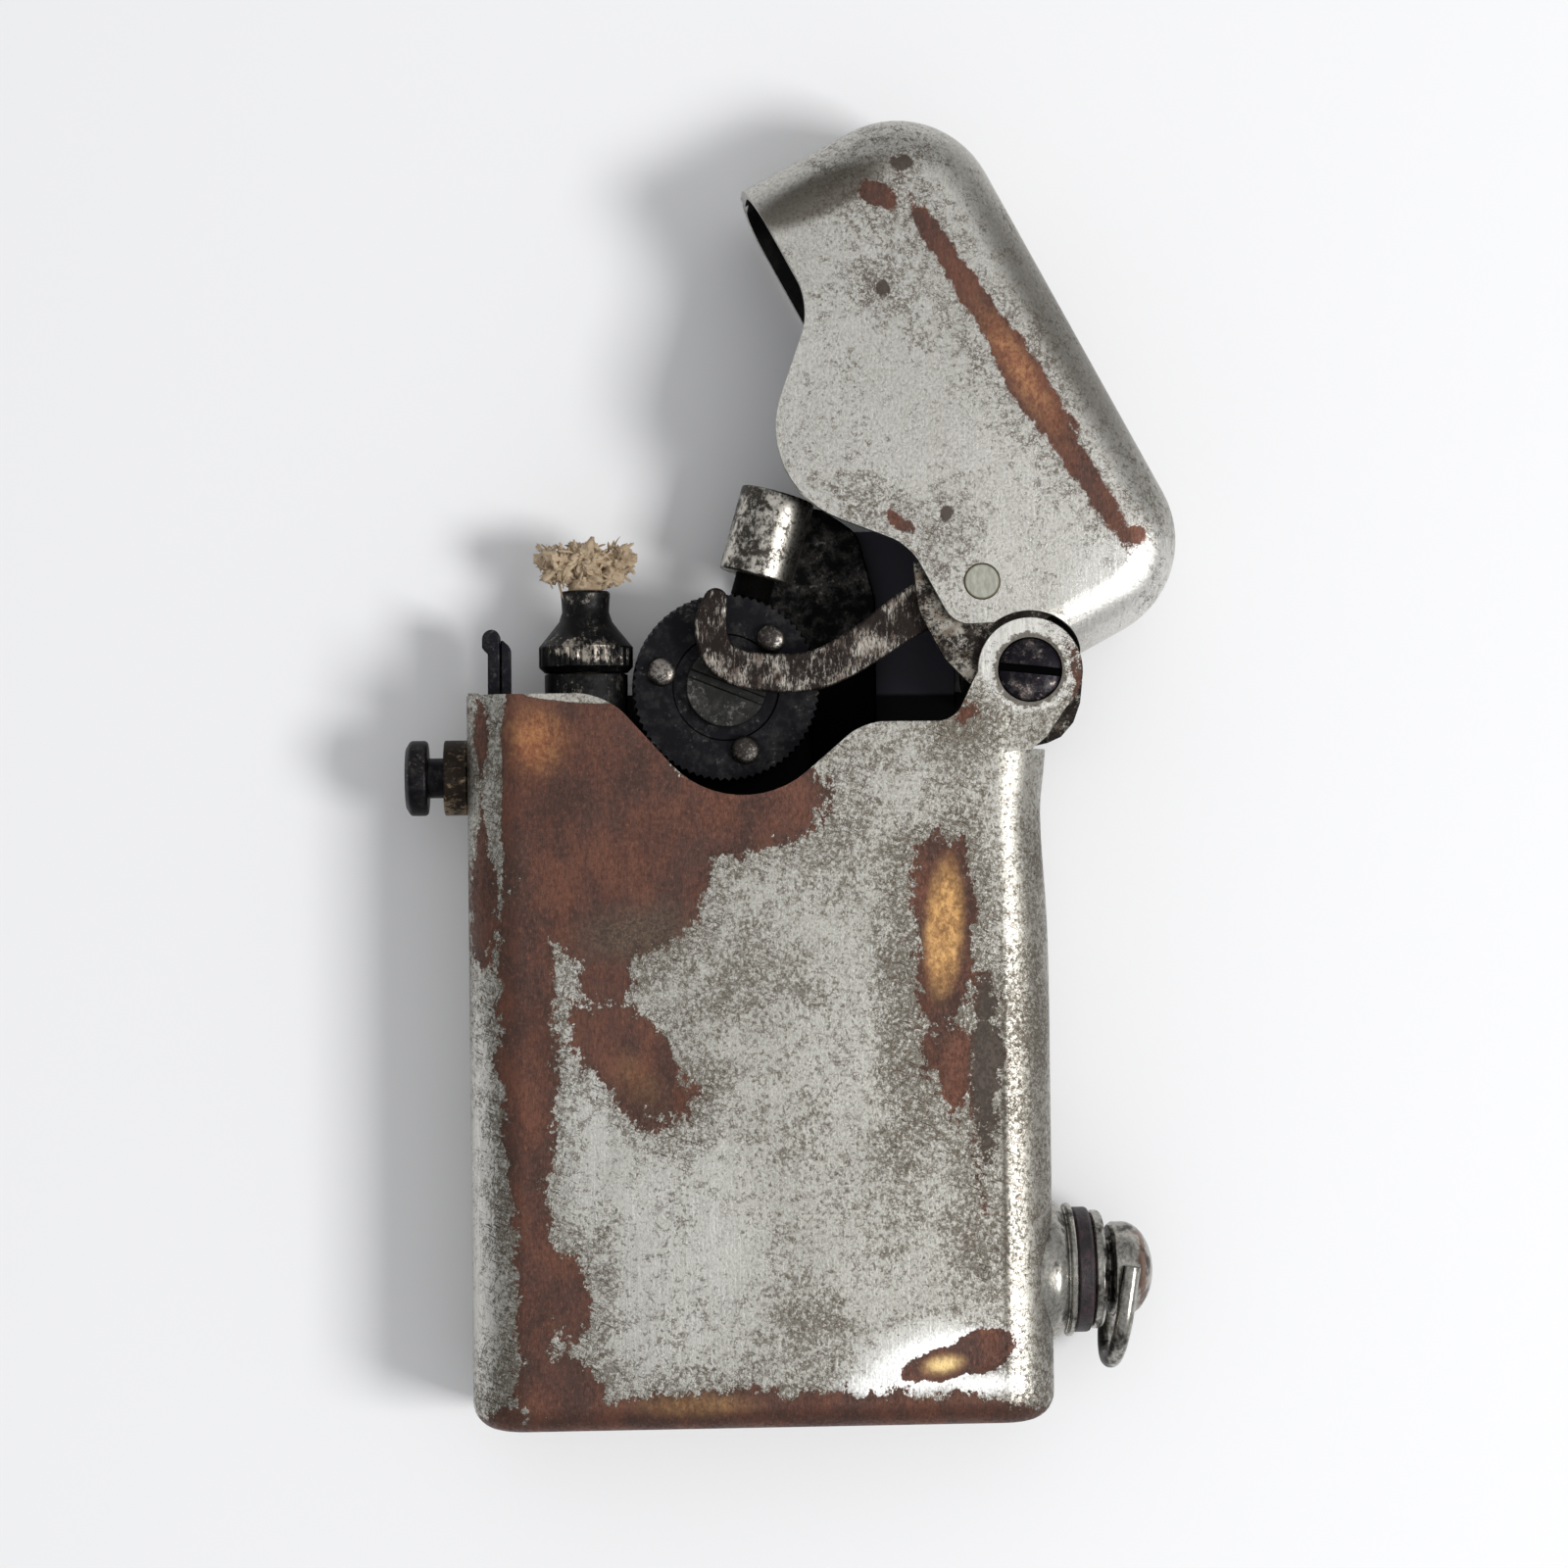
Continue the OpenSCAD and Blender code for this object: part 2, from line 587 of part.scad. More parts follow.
module hinge_screw() {
    color("#2c2926")
    at_hinge() difference() {
        union() {
            cylinder(r = hinge_shank_r, h = hub_high + run_gap);
            translate([0, 0, hub_high + run_gap]) rotate_extrude() polygon(concat([[0, 0], [hinge_head_r, 0],
                [hinge_head_r, 0.9]], [for (a = [15:15:90]) [hinge_head_r * cos(a), 0.9 + 0.35 * sin(a)]]));
        }
        rotate([0, 0, -6]) translate([-3, -0.25, hub_high + run_gap + 0.75]) cube([6, 0.5, 2]);
    }
}

// The lid, drawn closed and turned open about the hinge

bracket_rivet_r = 0.6;
bracket_rivet_at = [[-8, 5.5], [-3.2, 5.0]];
lid_ear_gap = 0.3;

module lid_shell() {
    color("#b4b3a5")
    in_lid() difference() {
        drawn_box(lid_end - lid_w, lid_end, lid_h, -12, 0, case_t, lid_corner_r, edge_r, edge_r);
        drawn_box(lid_end - lid_w + wall, lid_end - wall, lid_h - wall, -13, wall, case_t - wall,
            lid_corner_r - wall, edge_r - wall, edge_r - wall);
        slab(mid_z, case_t) difference() {
            translate([-50, -50]) square([60, 50 + 3]);
            polygon(front_edge(lid_gap, 50));
            translate([-2.7, 1]) square([20, 30]);
        }
        translate([-50, lid_back_v - 50, -1]) cube([60, 50, mid_z + 1 + eps]);
        translate([0, 0, -1]) cylinder(r = ear_r + lid_ear_gap, h = case_t + 2);
        translate([claw_in_lid[0], claw_in_lid[1], mid_z]) cylinder(r = rivet_head_r, h = 10);
    }
}

module bracket_rivets() {
    color("#6f6a60")
    in_lid() for (p = bracket_rivet_at) translate([p[0], p[1], 0]) {
        translate([0, 0, leaf_z - 0.3]) cylinder(r = 0.9, h = 0.3);
        translate([0, 0, leaf_z]) cylinder(r = bracket_rivet_r, h = case_t - wall - leaf_z);
    }
}

snuffer_v = 5.7;
snuffer_len = 4.6;
snuffer_r = 2.9;
post_r = 1;

// Height inside the lid over the post's edge, less where the lid's round corner starts
lid_corner_in = lid_corner_r - wall;
past_corner = max(0, burner_u + post_r - (lid_w - lid_end - lid_corner_r));
lid_roof = lid_h - wall - lid_corner_in + sqrt(lid_corner_in * lid_corner_in - past_corner * past_corner);

module snuffer_cap() {
    color("#77705f")
    in_lid() translate([-burner_u, snuffer_v, mid_z]) rotate([-90, 0, 0]) difference() {
        cylinder(r = snuffer_r, h = snuffer_len);
        translate([0, 0, -1]) cylinder(r = snuffer_r - 0.4, h = snuffer_len + 0.5);
    }
}

module snuffer_post() {
    color("#5d584e")
    in_lid() translate([-burner_u, snuffer_v + snuffer_len, mid_z]) rotate([-90, 0, 0])
        cylinder(r = post_r, h = lid_roof - snuffer_v - snuffer_len);
}

catch_t = 0.25;

module lid_catch() {
    color("#5d584e")
    in_lid() translate([lid_end - lid_w + wall, 0.9, mid_z - 2]) cube([catch_t, 0.6, 4]);
}

// The push button and the latch

latch_x = -case_w / 2 + 1.75;
latch_pin_r = 0.4;
latch_pin_end = 0.85;
latch_pivot_y = hinge_y - tank_v + 1.0;
bush_len = 1.5;
button_gap = 1.0;
button_t = 1.4;
stem_in = 0.55;

module on_button() translate([-case_w / 2, hinge_y - button_v, mid_z]) rotate([0, -90, 0]) children();

module button_bush() {
    color("#6b5a3c")
    on_button() difference() {
        union() {
            cylinder(r = button_r, h = bush_len);
            translate([0, 0, -wall]) cylinder(r = button_r - 0.4, h = wall);
        }
        translate([0, 0, -2]) cylinder(r = stem_r + fit_gap, h = 5);
    }
}

module push_button() {
    color("#1f1e20")
    on_button() union() {
        translate([0, 0, -wall - stem_in]) cylinder(r = stem_r, h = wall + stem_in + bush_len + button_gap);
        translate([0, 0, bush_len + button_gap]) rotate_extrude() polygon(rounded([[0, 0, 0], [button_r, 0, 0.25],
            [button_r, button_t - 0.3, 0.3], [button_r - 0.5, button_t, 0.4], [0, button_t + 0.05, 0]], 4));
    }
}

latch_t = 0.75;
latch_top_v = 3.0;

module latch_hook() {
    color("#2a2829")
    difference() {
        union() {
            translate([latch_x, latch_pivot_y, mid_z - latch_w / 2]) cylinder(r = 0.8, h = latch_w);
            slab(mid_z - latch_w / 2, latch_w) polygon(rounded([[latch_x - 0.55, latch_pivot_y, 0],
                [latch_x - 0.45, hinge_y + 1.5, 0.15], [latch_x - 0.8, hinge_y + 1.85, 0.15],
                [latch_x - 0.8, hinge_y + latch_top_v, 0.6], [latch_x + latch_t - 0.45, hinge_y + latch_top_v, 0.5],
                [latch_x + latch_t - 0.45, latch_pivot_y, 0]], 5));
        }
        translate([latch_x, latch_pivot_y, -1]) cylinder(r = latch_pin_r + fit_gap, h = case_t + 2);
    }
}

module latch_spring() {
    color("#1c1b1c")
    translate([0, 0, mid_z - latch_w / 2 + 0.2]) linear_extrude(latch_w - 0.4)
        polygon(rounded([[latch_x + latch_t - 0.4, latch_pivot_y + 1.2, 0],
            [latch_x + latch_t - 0.4, hinge_y + latch_top_v - 0.55, 0.1],
            [latch_x + 2 * latch_t - 0.55, hinge_y + latch_top_v - 1.1, 0.5],
            [latch_x + 2 * latch_t - 0.55, latch_pivot_y + 2.6, 0.5], [latch_x + latch_t, latch_pivot_y + 1.2, 0]], 5));
}

module latch_pin() {
    color("#4a4743")
    translate([latch_x, latch_pivot_y, mid_z - latch_w / 2 - latch_pin_end])
        cylinder(r = latch_pin_r, h = latch_w + 2 * latch_pin_end);
}

case_shell();
tank_plate();
cotton_wadding();
filler_boss();
mechanism_plate();
wheel_post();
burner_tube();
burner_nozzle();
wick();
flint_arm();
flint_tube();
flint_plug();
flint_spring();
flint();
spark_wheel();
wheel_pins();
wheel_screw();
claw();
claw_rivet();
claw_spring();
hinge_bracket();
hinge_spring();
hinge_screw();
lid_shell();
bracket_rivets();
snuffer_cap();
snuffer_post();
lid_catch();
button_bush();
push_button();
latch_hook();
latch_spring();
latch_pin();
filler_gasket();
filler_screw();
filler_bail();
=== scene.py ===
import math
import random

import bmesh
import bpy
from mathutils import Matrix, Vector, noise


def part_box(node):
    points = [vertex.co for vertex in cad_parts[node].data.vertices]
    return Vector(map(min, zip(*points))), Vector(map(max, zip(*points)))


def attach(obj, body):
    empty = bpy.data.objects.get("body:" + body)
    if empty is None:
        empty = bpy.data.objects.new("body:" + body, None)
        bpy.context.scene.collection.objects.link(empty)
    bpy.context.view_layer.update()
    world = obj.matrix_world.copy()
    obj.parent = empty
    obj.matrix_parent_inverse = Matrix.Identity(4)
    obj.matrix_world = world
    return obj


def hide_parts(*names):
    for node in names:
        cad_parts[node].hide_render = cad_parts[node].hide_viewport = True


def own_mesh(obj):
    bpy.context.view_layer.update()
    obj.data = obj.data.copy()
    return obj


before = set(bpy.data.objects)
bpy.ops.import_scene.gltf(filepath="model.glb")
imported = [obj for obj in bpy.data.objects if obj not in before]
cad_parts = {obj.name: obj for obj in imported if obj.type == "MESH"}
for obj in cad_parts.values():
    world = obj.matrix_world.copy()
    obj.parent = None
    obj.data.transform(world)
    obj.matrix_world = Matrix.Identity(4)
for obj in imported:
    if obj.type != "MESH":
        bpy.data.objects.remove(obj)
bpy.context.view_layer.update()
MM = 0.001

# The camera looks straight down on the table, a hand's width above the lighter.
# It stands a little left of the case and leans a few degrees, as the photographer's did.
camera_data = bpy.data.cameras.new("camera")
camera_data.sensor_width = 36.0
camera_data.lens = 79.35
camera_data.clip_start = 0.01
camera_data.clip_end = 10.0
camera = bpy.data.objects.new("camera", camera_data)
camera.location = (-8.5973 * MM, 12.9132 * MM, 222.3075 * MM)
roll = Matrix.Rotation(-0.0115, 3, "Z")
lean_left = Matrix.Rotation(-0.0474, 3, "Y")
lean_back = Matrix.Rotation(0.0176, 3, "X")
camera.rotation_euler = (roll @ lean_left @ lean_back).to_euler()
bpy.context.scene.collection.objects.link(camera)
bpy.context.scene.camera = camera
bpy.context.scene.view_settings.view_transform = "Standard"

# The table is a smooth sheet of matt white board, in a room that is as white.
# A soft lamp on the right casts the lighter's shadow to the left, and a faint one hangs overhead.


class Socket:
    """One output of a material's node, which can be added, multiplied and compared as a number."""

    def __init__(self, recipe, link):
        self.recipe = recipe
        self.link = link

    def maths(self, operation, *others):
        return self.recipe.node("ShaderNodeMath", {"operation": operation}, [self, *others])

    def __add__(self, other):
        return self.maths("ADD", other)

    __radd__ = __add__

    def __sub__(self, other):
        return self.maths("SUBTRACT", other)

    def __rsub__(self, other):
        return self.recipe.node("ShaderNodeMath", {"operation": "SUBTRACT"}, [other, self])

    def __mul__(self, other):
        return self.maths("MULTIPLY", other)

    __rmul__ = __mul__

    def highest(self, other):
        return self.maths("MAXIMUM", other)

    def between(self, low, high):
        """0 below low, 1 above high, and a soft step from one to the other."""
        return self.recipe.node(
            "ShaderNodeMapRange", {"interpolation_type": "SMOOTHSTEP"},
            {"Value": self, "From Min": low, "From Max": high}, "Result")


class Recipe:
    """A material that is mixed from nodes."""

    def __init__(self, name):
        self.material = bpy.data.materials.new(name)
        self.material.use_nodes = True
        self.tree = self.material.node_tree
        self.tree.nodes.clear()
        self.place = self.node("ShaderNodeTexCoord", {}, {}, "Object")

    def node(self, kind, settings, inputs, output=0):
        """Adds a node, sets it up, joins its inputs, and gives back one output."""
        made = self.tree.nodes.new(kind)
        for name, value in settings.items():
            setattr(made, name, value)
        pairs = inputs.items() if isinstance(inputs, dict) else enumerate(inputs)
        for key, value in pairs:
            socket = made.inputs[key]
            if isinstance(value, Socket):
                self.tree.links.new(value.link, socket)
            elif socket.type == "RGBA":
                socket.default_value = (*value, 1.0)
            else:
                socket.default_value = value
        return Socket(self, made.outputs[output])

    def mix(self, share, first, second):
        """A colour between two others."""
        return self.node(
            "ShaderNodeMix", {"data_type": "RGBA"}, {0: share, 6: first, 7: second}, 2)

    def noise(self, grain, detail=3.0, rough=0.55, turn=0.0, shift=0.0):
        """A noise whose blotches have about those three sizes, in millimetres, turned in degrees about Z.

        shift moves it along X, so that two of a size differ."""
        laid = self.node("ShaderNodeMapping", {"vector_type": "TEXTURE"}, {
            "Vector": self.place, "Location": (shift * MM, 0.0, 0.0),
            "Rotation": (0.0, 0.0, math.radians(turn)), "Scale": tuple(g * MM for g in grain)})
        return self.node("ShaderNodeTexNoise", {}, {
            "Vector": laid, "Scale": 1.0, "Detail": detail, "Roughness": rough}, "Fac")

    def axis(self, letter):
        """One coordinate of the point, in millimetres."""
        split = self.node("ShaderNodeSeparateXYZ", {}, {"Vector": self.place}, letter)
        return split * 1000.0

    def patch(self, x, y, half_x, half_y, turn=0.0):
        """How far, in millimetres, a point is inside the rim of an oval patch on the front."""
        laid = self.node("ShaderNodeMapping", {"vector_type": "TEXTURE"}, {
            "Vector": self.place, "Location": (x * MM, y * MM, 0.0),
            "Rotation": (0.0, 0.0, math.radians(turn)), "Scale": (half_x * MM, half_y * MM, 1000.0)})
        reach = self.node("ShaderNodeVectorMath", {"operation": "LENGTH"}, [laid], "Value")
        return (1.0 - reach) * min(half_x, half_y)

    def patches(self, spots):
        """The same for a group of patches that run together."""
        total = self.patch(*spots[0])
        for spot in spots[1:]:
            total = total.highest(self.patch(*spot))
        return total

    def finish(self, colour, rough, metal=1.0, bump=None, depth=0.0, **fixed):
        """Puts the surface on the material. depth is the bump's height in millimetres."""
        inputs = {"Base Color": colour, "Roughness": rough, "Metallic": metal}
        if bump is not None:
            inputs["Normal"] = self.node("ShaderNodeBump", {}, {
                "Height": bump, "Distance": depth * MM, "Strength": 1.0}, "Normal")
        inputs.update(fixed)
        shader = self.node("ShaderNodeBsdfPrincipled", {}, inputs, "BSDF")
        self.node_out(shader)
        return self.material

    def node_out(self, shader):
        out = self.tree.nodes.new("ShaderNodeOutputMaterial")
        self.tree.links.new(shader.link, out.inputs["Surface"])


table_board = Recipe("white_board")
table_board.node_out(table_board.node("ShaderNodeBsdfDiffuse", {}, {"Color": (0.9, 0.9, 0.905)}, "BSDF"))

floor_mesh = bmesh.new()
bmesh.ops.create_grid(floor_mesh, x_segments=1, y_segments=1, size=2.0)
floor_data = bpy.data.meshes.new("table")
floor_mesh.to_mesh(floor_data)
floor_mesh.free()
floor_data.materials.append(table_board.material)
floor = bpy.data.objects.new("table", floor_data)
bpy.context.scene.collection.objects.link(floor)

room = bpy.data.worlds.new("room")
room.use_nodes = True
bpy.context.scene.world = room
room.node_tree.nodes["Background"].inputs["Color"].default_value = (0.97, 0.98, 1.0, 1.0)
room.node_tree.nodes["Background"].inputs["Strength"].default_value = 0.52


def softbox(name, place, side, watts):
    """A square soft lamp that stands at place and faces the lighter. Its place and side are in metres."""
    data = bpy.data.lights.new(name, "AREA")
    data.shape = "RECTANGLE"
    data.size = side
    data.size_y = side
    data.energy = watts
    lamp = bpy.data.objects.new(name, data)
    lamp.location = place
    lighter = Vector((0.0, 0.01, 0.0))
    lamp.rotation_euler = (lighter - Vector(place)).to_track_quat("-Z", "Y").to_euler()
    bpy.context.scene.collection.objects.link(lamp)


softbox("key", (0.42, -0.1, 0.5), side=0.2, watts=2.75)
softbox("overhead", (0.02, 0.16, 0.6), side=0.5, watts=0.24)

# The case is drawn from brass sheet in one piece, nickel plated, and open at the top.
# Its front has a scoop for the thumb, and two ears for the hinge screw are part of the sheet.
# The plating has worn through to copper-brown metal where it was held, most of all at the upper left.
HINGE = Vector((16.7, 23.4, 0.0))
OPEN = math.radians(-61.5)
THICK = 11.0
MID = THICK / 2
SHEET = 0.6
SIDE = 18.0
BASE = -23.0
EDGE = 3.4
EAR_RADIUS = 3.2
# The ears lie a little inside the faces, and each tool reaches clear of what it cuts.
EAR_IN = 0.03
CLEAR = 1.0
FAR = 50.0
SAME = 1e-4


def prism(corners, low, high):
    """A flat outline made into a solid from low to high. Each corner is (x, y, radius)."""
    shape = bmesh.new()
    rim = [shape.verts.new((x, y, low)) for x, y, radius in corners]
    shape.faces.new(rim)
    for i, (x, y, radius) in enumerate(corners):
        if radius > 0:
            before = (Vector(corners[i - 1][:2]) - Vector((x, y))).normalized()
            after = (Vector(corners[(i + 1) % len(corners)][:2]) - Vector((x, y))).normalized()
            half = math.acos(max(-1.0, min(1.0, before.dot(after)))) / 2
            bmesh.ops.bevel(
                shape, geom=[rim[i]], offset=radius / math.tan(half), offset_type="OFFSET", segments=12,
                profile=0.5, affect="VERTICES", material=-1)
    made = bmesh.ops.extrude_face_region(shape, geom=shape.faces[:])
    top = [part for part in made["geom"] if isinstance(part, bmesh.types.BMVert)]
    bmesh.ops.translate(shape, verts=top, vec=(0.0, 0.0, high - low))
    bmesh.ops.recalc_face_normals(shape, faces=shape.faces[:])
    return shape


def rod(x, y, radius, low, high, segments=64):
    """A round bar that stands along Z."""
    shape = bmesh.new()
    bmesh.ops.create_cone(
        shape, cap_ends=True, segments=segments, radius1=radius, radius2=radius, depth=high - low,
        matrix=Matrix.Translation((x, y, (low + high) / 2)))
    return shape


def as_object(shape, name):
    """Makes an object of a mesh, and frees the mesh."""
    data = bpy.data.meshes.new(name)
    shape.to_mesh(data)
    shape.free()
    made = bpy.data.objects.new(name, data)
    bpy.context.scene.collection.objects.link(made)
    return made


def carve(body, tool, operation="DIFFERENCE"):
    """Cuts a tool out of a body or joins it on. Both are meshes; the body's new mesh comes back."""
    first = as_object(body, "body_blank")
    second = as_object(tool, "tool_blank")
    step = first.modifiers.new("carve", "BOOLEAN")
    step.operation = operation
    step.solver = "EXACT"
    step.object = second
    ready = first.evaluated_get(bpy.context.evaluated_depsgraph_get())
    result = bmesh.new()
    result.from_mesh(ready.to_mesh())
    ready.to_mesh_clear()
    for blank in (first, second):
        data = blank.data
        bpy.data.objects.remove(blank)
        bpy.data.meshes.remove(data)
    return result


def settle(shape, name, body, material, slot, node, soft=0.0, angle=35.0, weighted=True, inside=None):
    """Makes the finished piece from a mesh in millimetres. It rides on a body and replaces a CAD node.

    soft is the radius of its worn edges, which are those sharper than angle. inside is a second material."""
    bmesh.ops.scale(shape, vec=(MM, MM, MM), verts=shape.verts[:])
    for face in shape.faces:
        face.smooth = True
    for edge in shape.edges:
        edge.smooth = len(edge.link_faces) == 2 and edge.calc_face_angle(0.0) < math.radians(angle)
    piece = as_object(shape, name)
    piece.data.materials.append(material)
    if inside is not None:
        piece.data.materials.append(inside)
    if soft > 0:
        rounded = piece.modifiers.new("worn_edges", "BEVEL")
        rounded.width = soft * MM
        rounded.segments = 2
        rounded.limit_method = "ANGLE"
        rounded.angle_limit = math.radians(angle)
    if weighted:
        normals = piece.modifiers.new("normals", "WEIGHTED_NORMAL")
        normals.keep_sharp = True
    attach(piece, body)
    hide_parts(node)
    return piece


def round_off(shape, edges, radius, segments):
    """Rounds some edges of a mesh."""
    bmesh.ops.bevel(
        shape, geom=edges, offset=radius, offset_type="OFFSET", segments=segments, profile=0.5,
        affect="EDGES", material=-1)


def drawn_blank(x0, x1, closed_y, open_y, corner, edge, end):
    """The outside of a drawn box, closed at one end in Y and open at the other.

    corner rounds the closed end's two corners, edge the rims of the front and back. Where corner is 0, end
    rounds the rim of the closed end."""
    shape = bmesh.new()
    bmesh.ops.create_cube(shape, size=1.0)
    bmesh.ops.scale(shape, vec=(x1 - x0, abs(open_y - closed_y), THICK), verts=shape.verts[:])
    bmesh.ops.translate(
        shape, verts=shape.verts[:], vec=((x0 + x1) / 2, (open_y + closed_y) / 2, MID))

    def at_end(part, y):
        return all(abs(v.co.y - y) < SAME for v in part.verts)

    def run(edge, letter):
        """How far an edge runs along an axis."""
        return abs(getattr(edge.verts[0].co, letter) - getattr(edge.verts[1].co, letter))

    if corner > 0:
        upright = [e for e in shape.edges if at_end(e, closed_y) and run(e, "x") < SAME]
        round_off(shape, upright, corner, 14)
        rims = [e for e in shape.edges if not at_end(e, open_y) and run(e, "z") < SAME]
        round_off(shape, rims, edge, 10)
    else:
        round_off(shape, [e for e in shape.edges if run(e, "y") > 1.0], edge, 12)
        round_off(shape, [e for f in shape.faces if at_end(f, closed_y) for e in f.edges], end, 8)
    return shape


def drawn_sheet(x0, x1, closed_y, open_y, corner, edge, end):
    """The same box with the inside taken out, so that it has the sheet's thickness."""
    way = 1 if open_y > closed_y else -1
    outside = drawn_blank(x0, x1, closed_y, open_y, corner, edge, end)
    inner = drawn_blank(
        x0 + SHEET, x1 - SHEET, closed_y + way * SHEET, open_y + way * CLEAR, max(corner - SHEET, 0.0),
        edge - SHEET, end - SHEET)
    bmesh.ops.translate(inner, verts=inner.verts[:], vec=(0.0, 0.0, -MID))
    bmesh.ops.scale(inner, vec=(1.0, 1.0, (THICK - 2 * SHEET) / THICK), verts=inner.verts[:])
    bmesh.ops.translate(inner, verts=inner.verts[:], vec=(0.0, 0.0, MID))
    return carve(outside, inner)


def scoop_line(rise):
    """The front edge from the left, seen from the hinge: shoulder, scoop, foot of the ear."""
    return [
        (-26.1, rise - 1.2, 4.0), (-18.24, rise - 9.9, 6.0), (-10.3, rise - 3.1, 3.4),
        (-4.7, rise - 3.1, 1.6)]


def oblong(x0, y0, x1, y1):
    """The outline of a rectangle with sharp corners."""
    return [(x0, y0, 0), (x1, y0, 0), (x1, y1, 0), (x0, y1, 0)]


def from_hinge(corners):
    """An outline that is given from the hinge, placed on the case."""
    return [(x + HINGE.x, y + HINGE.y, radius) for x, y, radius in corners]


case = drawn_sheet(x0=-SIDE, x1=SIDE, closed_y=BASE, open_y=25.4, corner=0.0, edge=EDGE, end=1.7)
above_front = from_hinge([
    (-FAR, -1.2, 0), *scoop_line(0.0), (-2.6, 1.2, 0), (0, -1.6, 0), (FAR, -1.6, 0), (FAR, FAR, 0),
    (-FAR, FAR, 0)])
above_back = from_hinge(oblong(-FAR, -0.9, 10, 20))
drum_room = from_hinge(oblong(-2, -4.85, 4, 5))
case = carve(case, prism(above_front, MID, 2 * THICK))
case = carve(case, prism(above_back, -CLEAR, MID + 0.01))
case = carve(case, prism(drum_room, SHEET, THICK - SHEET))
back_ear = EAR_IN
front_ear = THICK - SHEET - EAR_IN
for low in (back_ear, front_ear):
    case = carve(case, rod(HINGE.x, HINGE.y, EAR_RADIUS, low, low + SHEET, 96), "UNION")
front_foot = from_hinge([
    (-2.0, -5.1, 0), (0.1, -4.9, 0.3), (0.95, -4.15, 0.3), (2.2, -2.32, 0), (-0.7, -1.9, 0)])
case = carve(case, prism(front_foot, front_ear, THICK - EAR_IN), "UNION")
back_foot = from_hinge(oblong(-3, -4, -0.5, -0.8))
case = carve(case, prism(back_foot, back_ear, back_ear + SHEET), "UNION")
screw_head_hole = rod(HINGE.x, HINGE.y, 2.0, THICK - 1.2, THICK + CLEAR)
screw_end_hole = rod(HINGE.x, HINGE.y, 1.2, -CLEAR, 2.0)
button_hole = rod(0.0, 0.0, 1.95, -1.5, 1.5)
bmesh.ops.transform(
    button_hole, matrix=Matrix.Translation((-SIDE, 17.2, MID)) @ Matrix.Rotation(math.pi / 2, 4, "Y"),
    verts=button_hole.verts[:])
for hole in (screw_head_hole, screw_end_hole, button_hole):
    case = carve(case, hole)


def press_in(shape, y, above, below, depth):
    """Presses the right side in at a height, over a length above and below it, as a knock has done."""
    bend_from = 14.2
    bend_over = 2.8
    for step in range(-11, 7):
        height = y + step * (above if step > 0 else below) * 0.32
        side = [f for f in shape.faces if f.calc_center_median().x > 14.0 and abs(f.normal.x) > 0.02]
        parts = dict.fromkeys(part for f in side for part in (f, *f.edges, *f.verts))
        bmesh.ops.bisect_plane(
            shape, geom=list(parts), dist=SAME, plane_co=(0.0, height, MID), plane_no=(0.0, 1.0, 0.0))
    for vert in shape.verts:
        away = (vert.co.y - y) / (above if vert.co.y > y else below)
        share = min(max((vert.co.x - bend_from) / bend_over, 0.0), 1.0)
        vert.co.x -= depth * share * math.exp(-away * away)


press_in(case, y=14.6, above=2.8, below=5.2, depth=0.42)


def blacken_inside(shape, low, high):
    """Gives the faces that look in at the box between low and high the second material, which is painted near
    black as shade.
    """
    for face in shape.faces:
        middle = face.calc_center_median()
        off = Vector(m - min(max(m, a), b) for m, a, b in zip(middle, low, high))
        if face.normal.dot(off) < -0.5 and SHEET - 0.05 < middle.z < THICK - SHEET + 0.05:
            face.material_index = 1


GRIT = (0.1, 0.085, 0.062)
OIL_AND_SHADE = (0.09, 0.078, 0.062)
TRAIL = (0.1, 0.078, 0.056)
SCRATCH = (0.06, 0.048, 0.038)
STAIN = (0.095, 0.062, 0.05)
BRUSHED = (0.2, 0.19, 0.165)
POLISHED = (0.84, 0.83, 0.8)
FLECK = (0.7, 0.69, 0.65)
GLINT = (0.82, 0.81, 0.78)
HIGHLIGHT_WHITE = (0.98, 0.97, 0.95)
DARK_BROWN = (0.094, 0.056, 0.048)
RED_BROWN = (0.178, 0.082, 0.058)
COPPER = (0.27, 0.125, 0.082)
BURNT = (0.055, 0.04, 0.036)
SOOTY_BROWN = (0.098, 0.08, 0.068)
RIM_BROWN = (0.06, 0.047, 0.034)
UMBER = (0.26, 0.19, 0.12)
PALE_GOLD = (0.74, 0.48, 0.22)


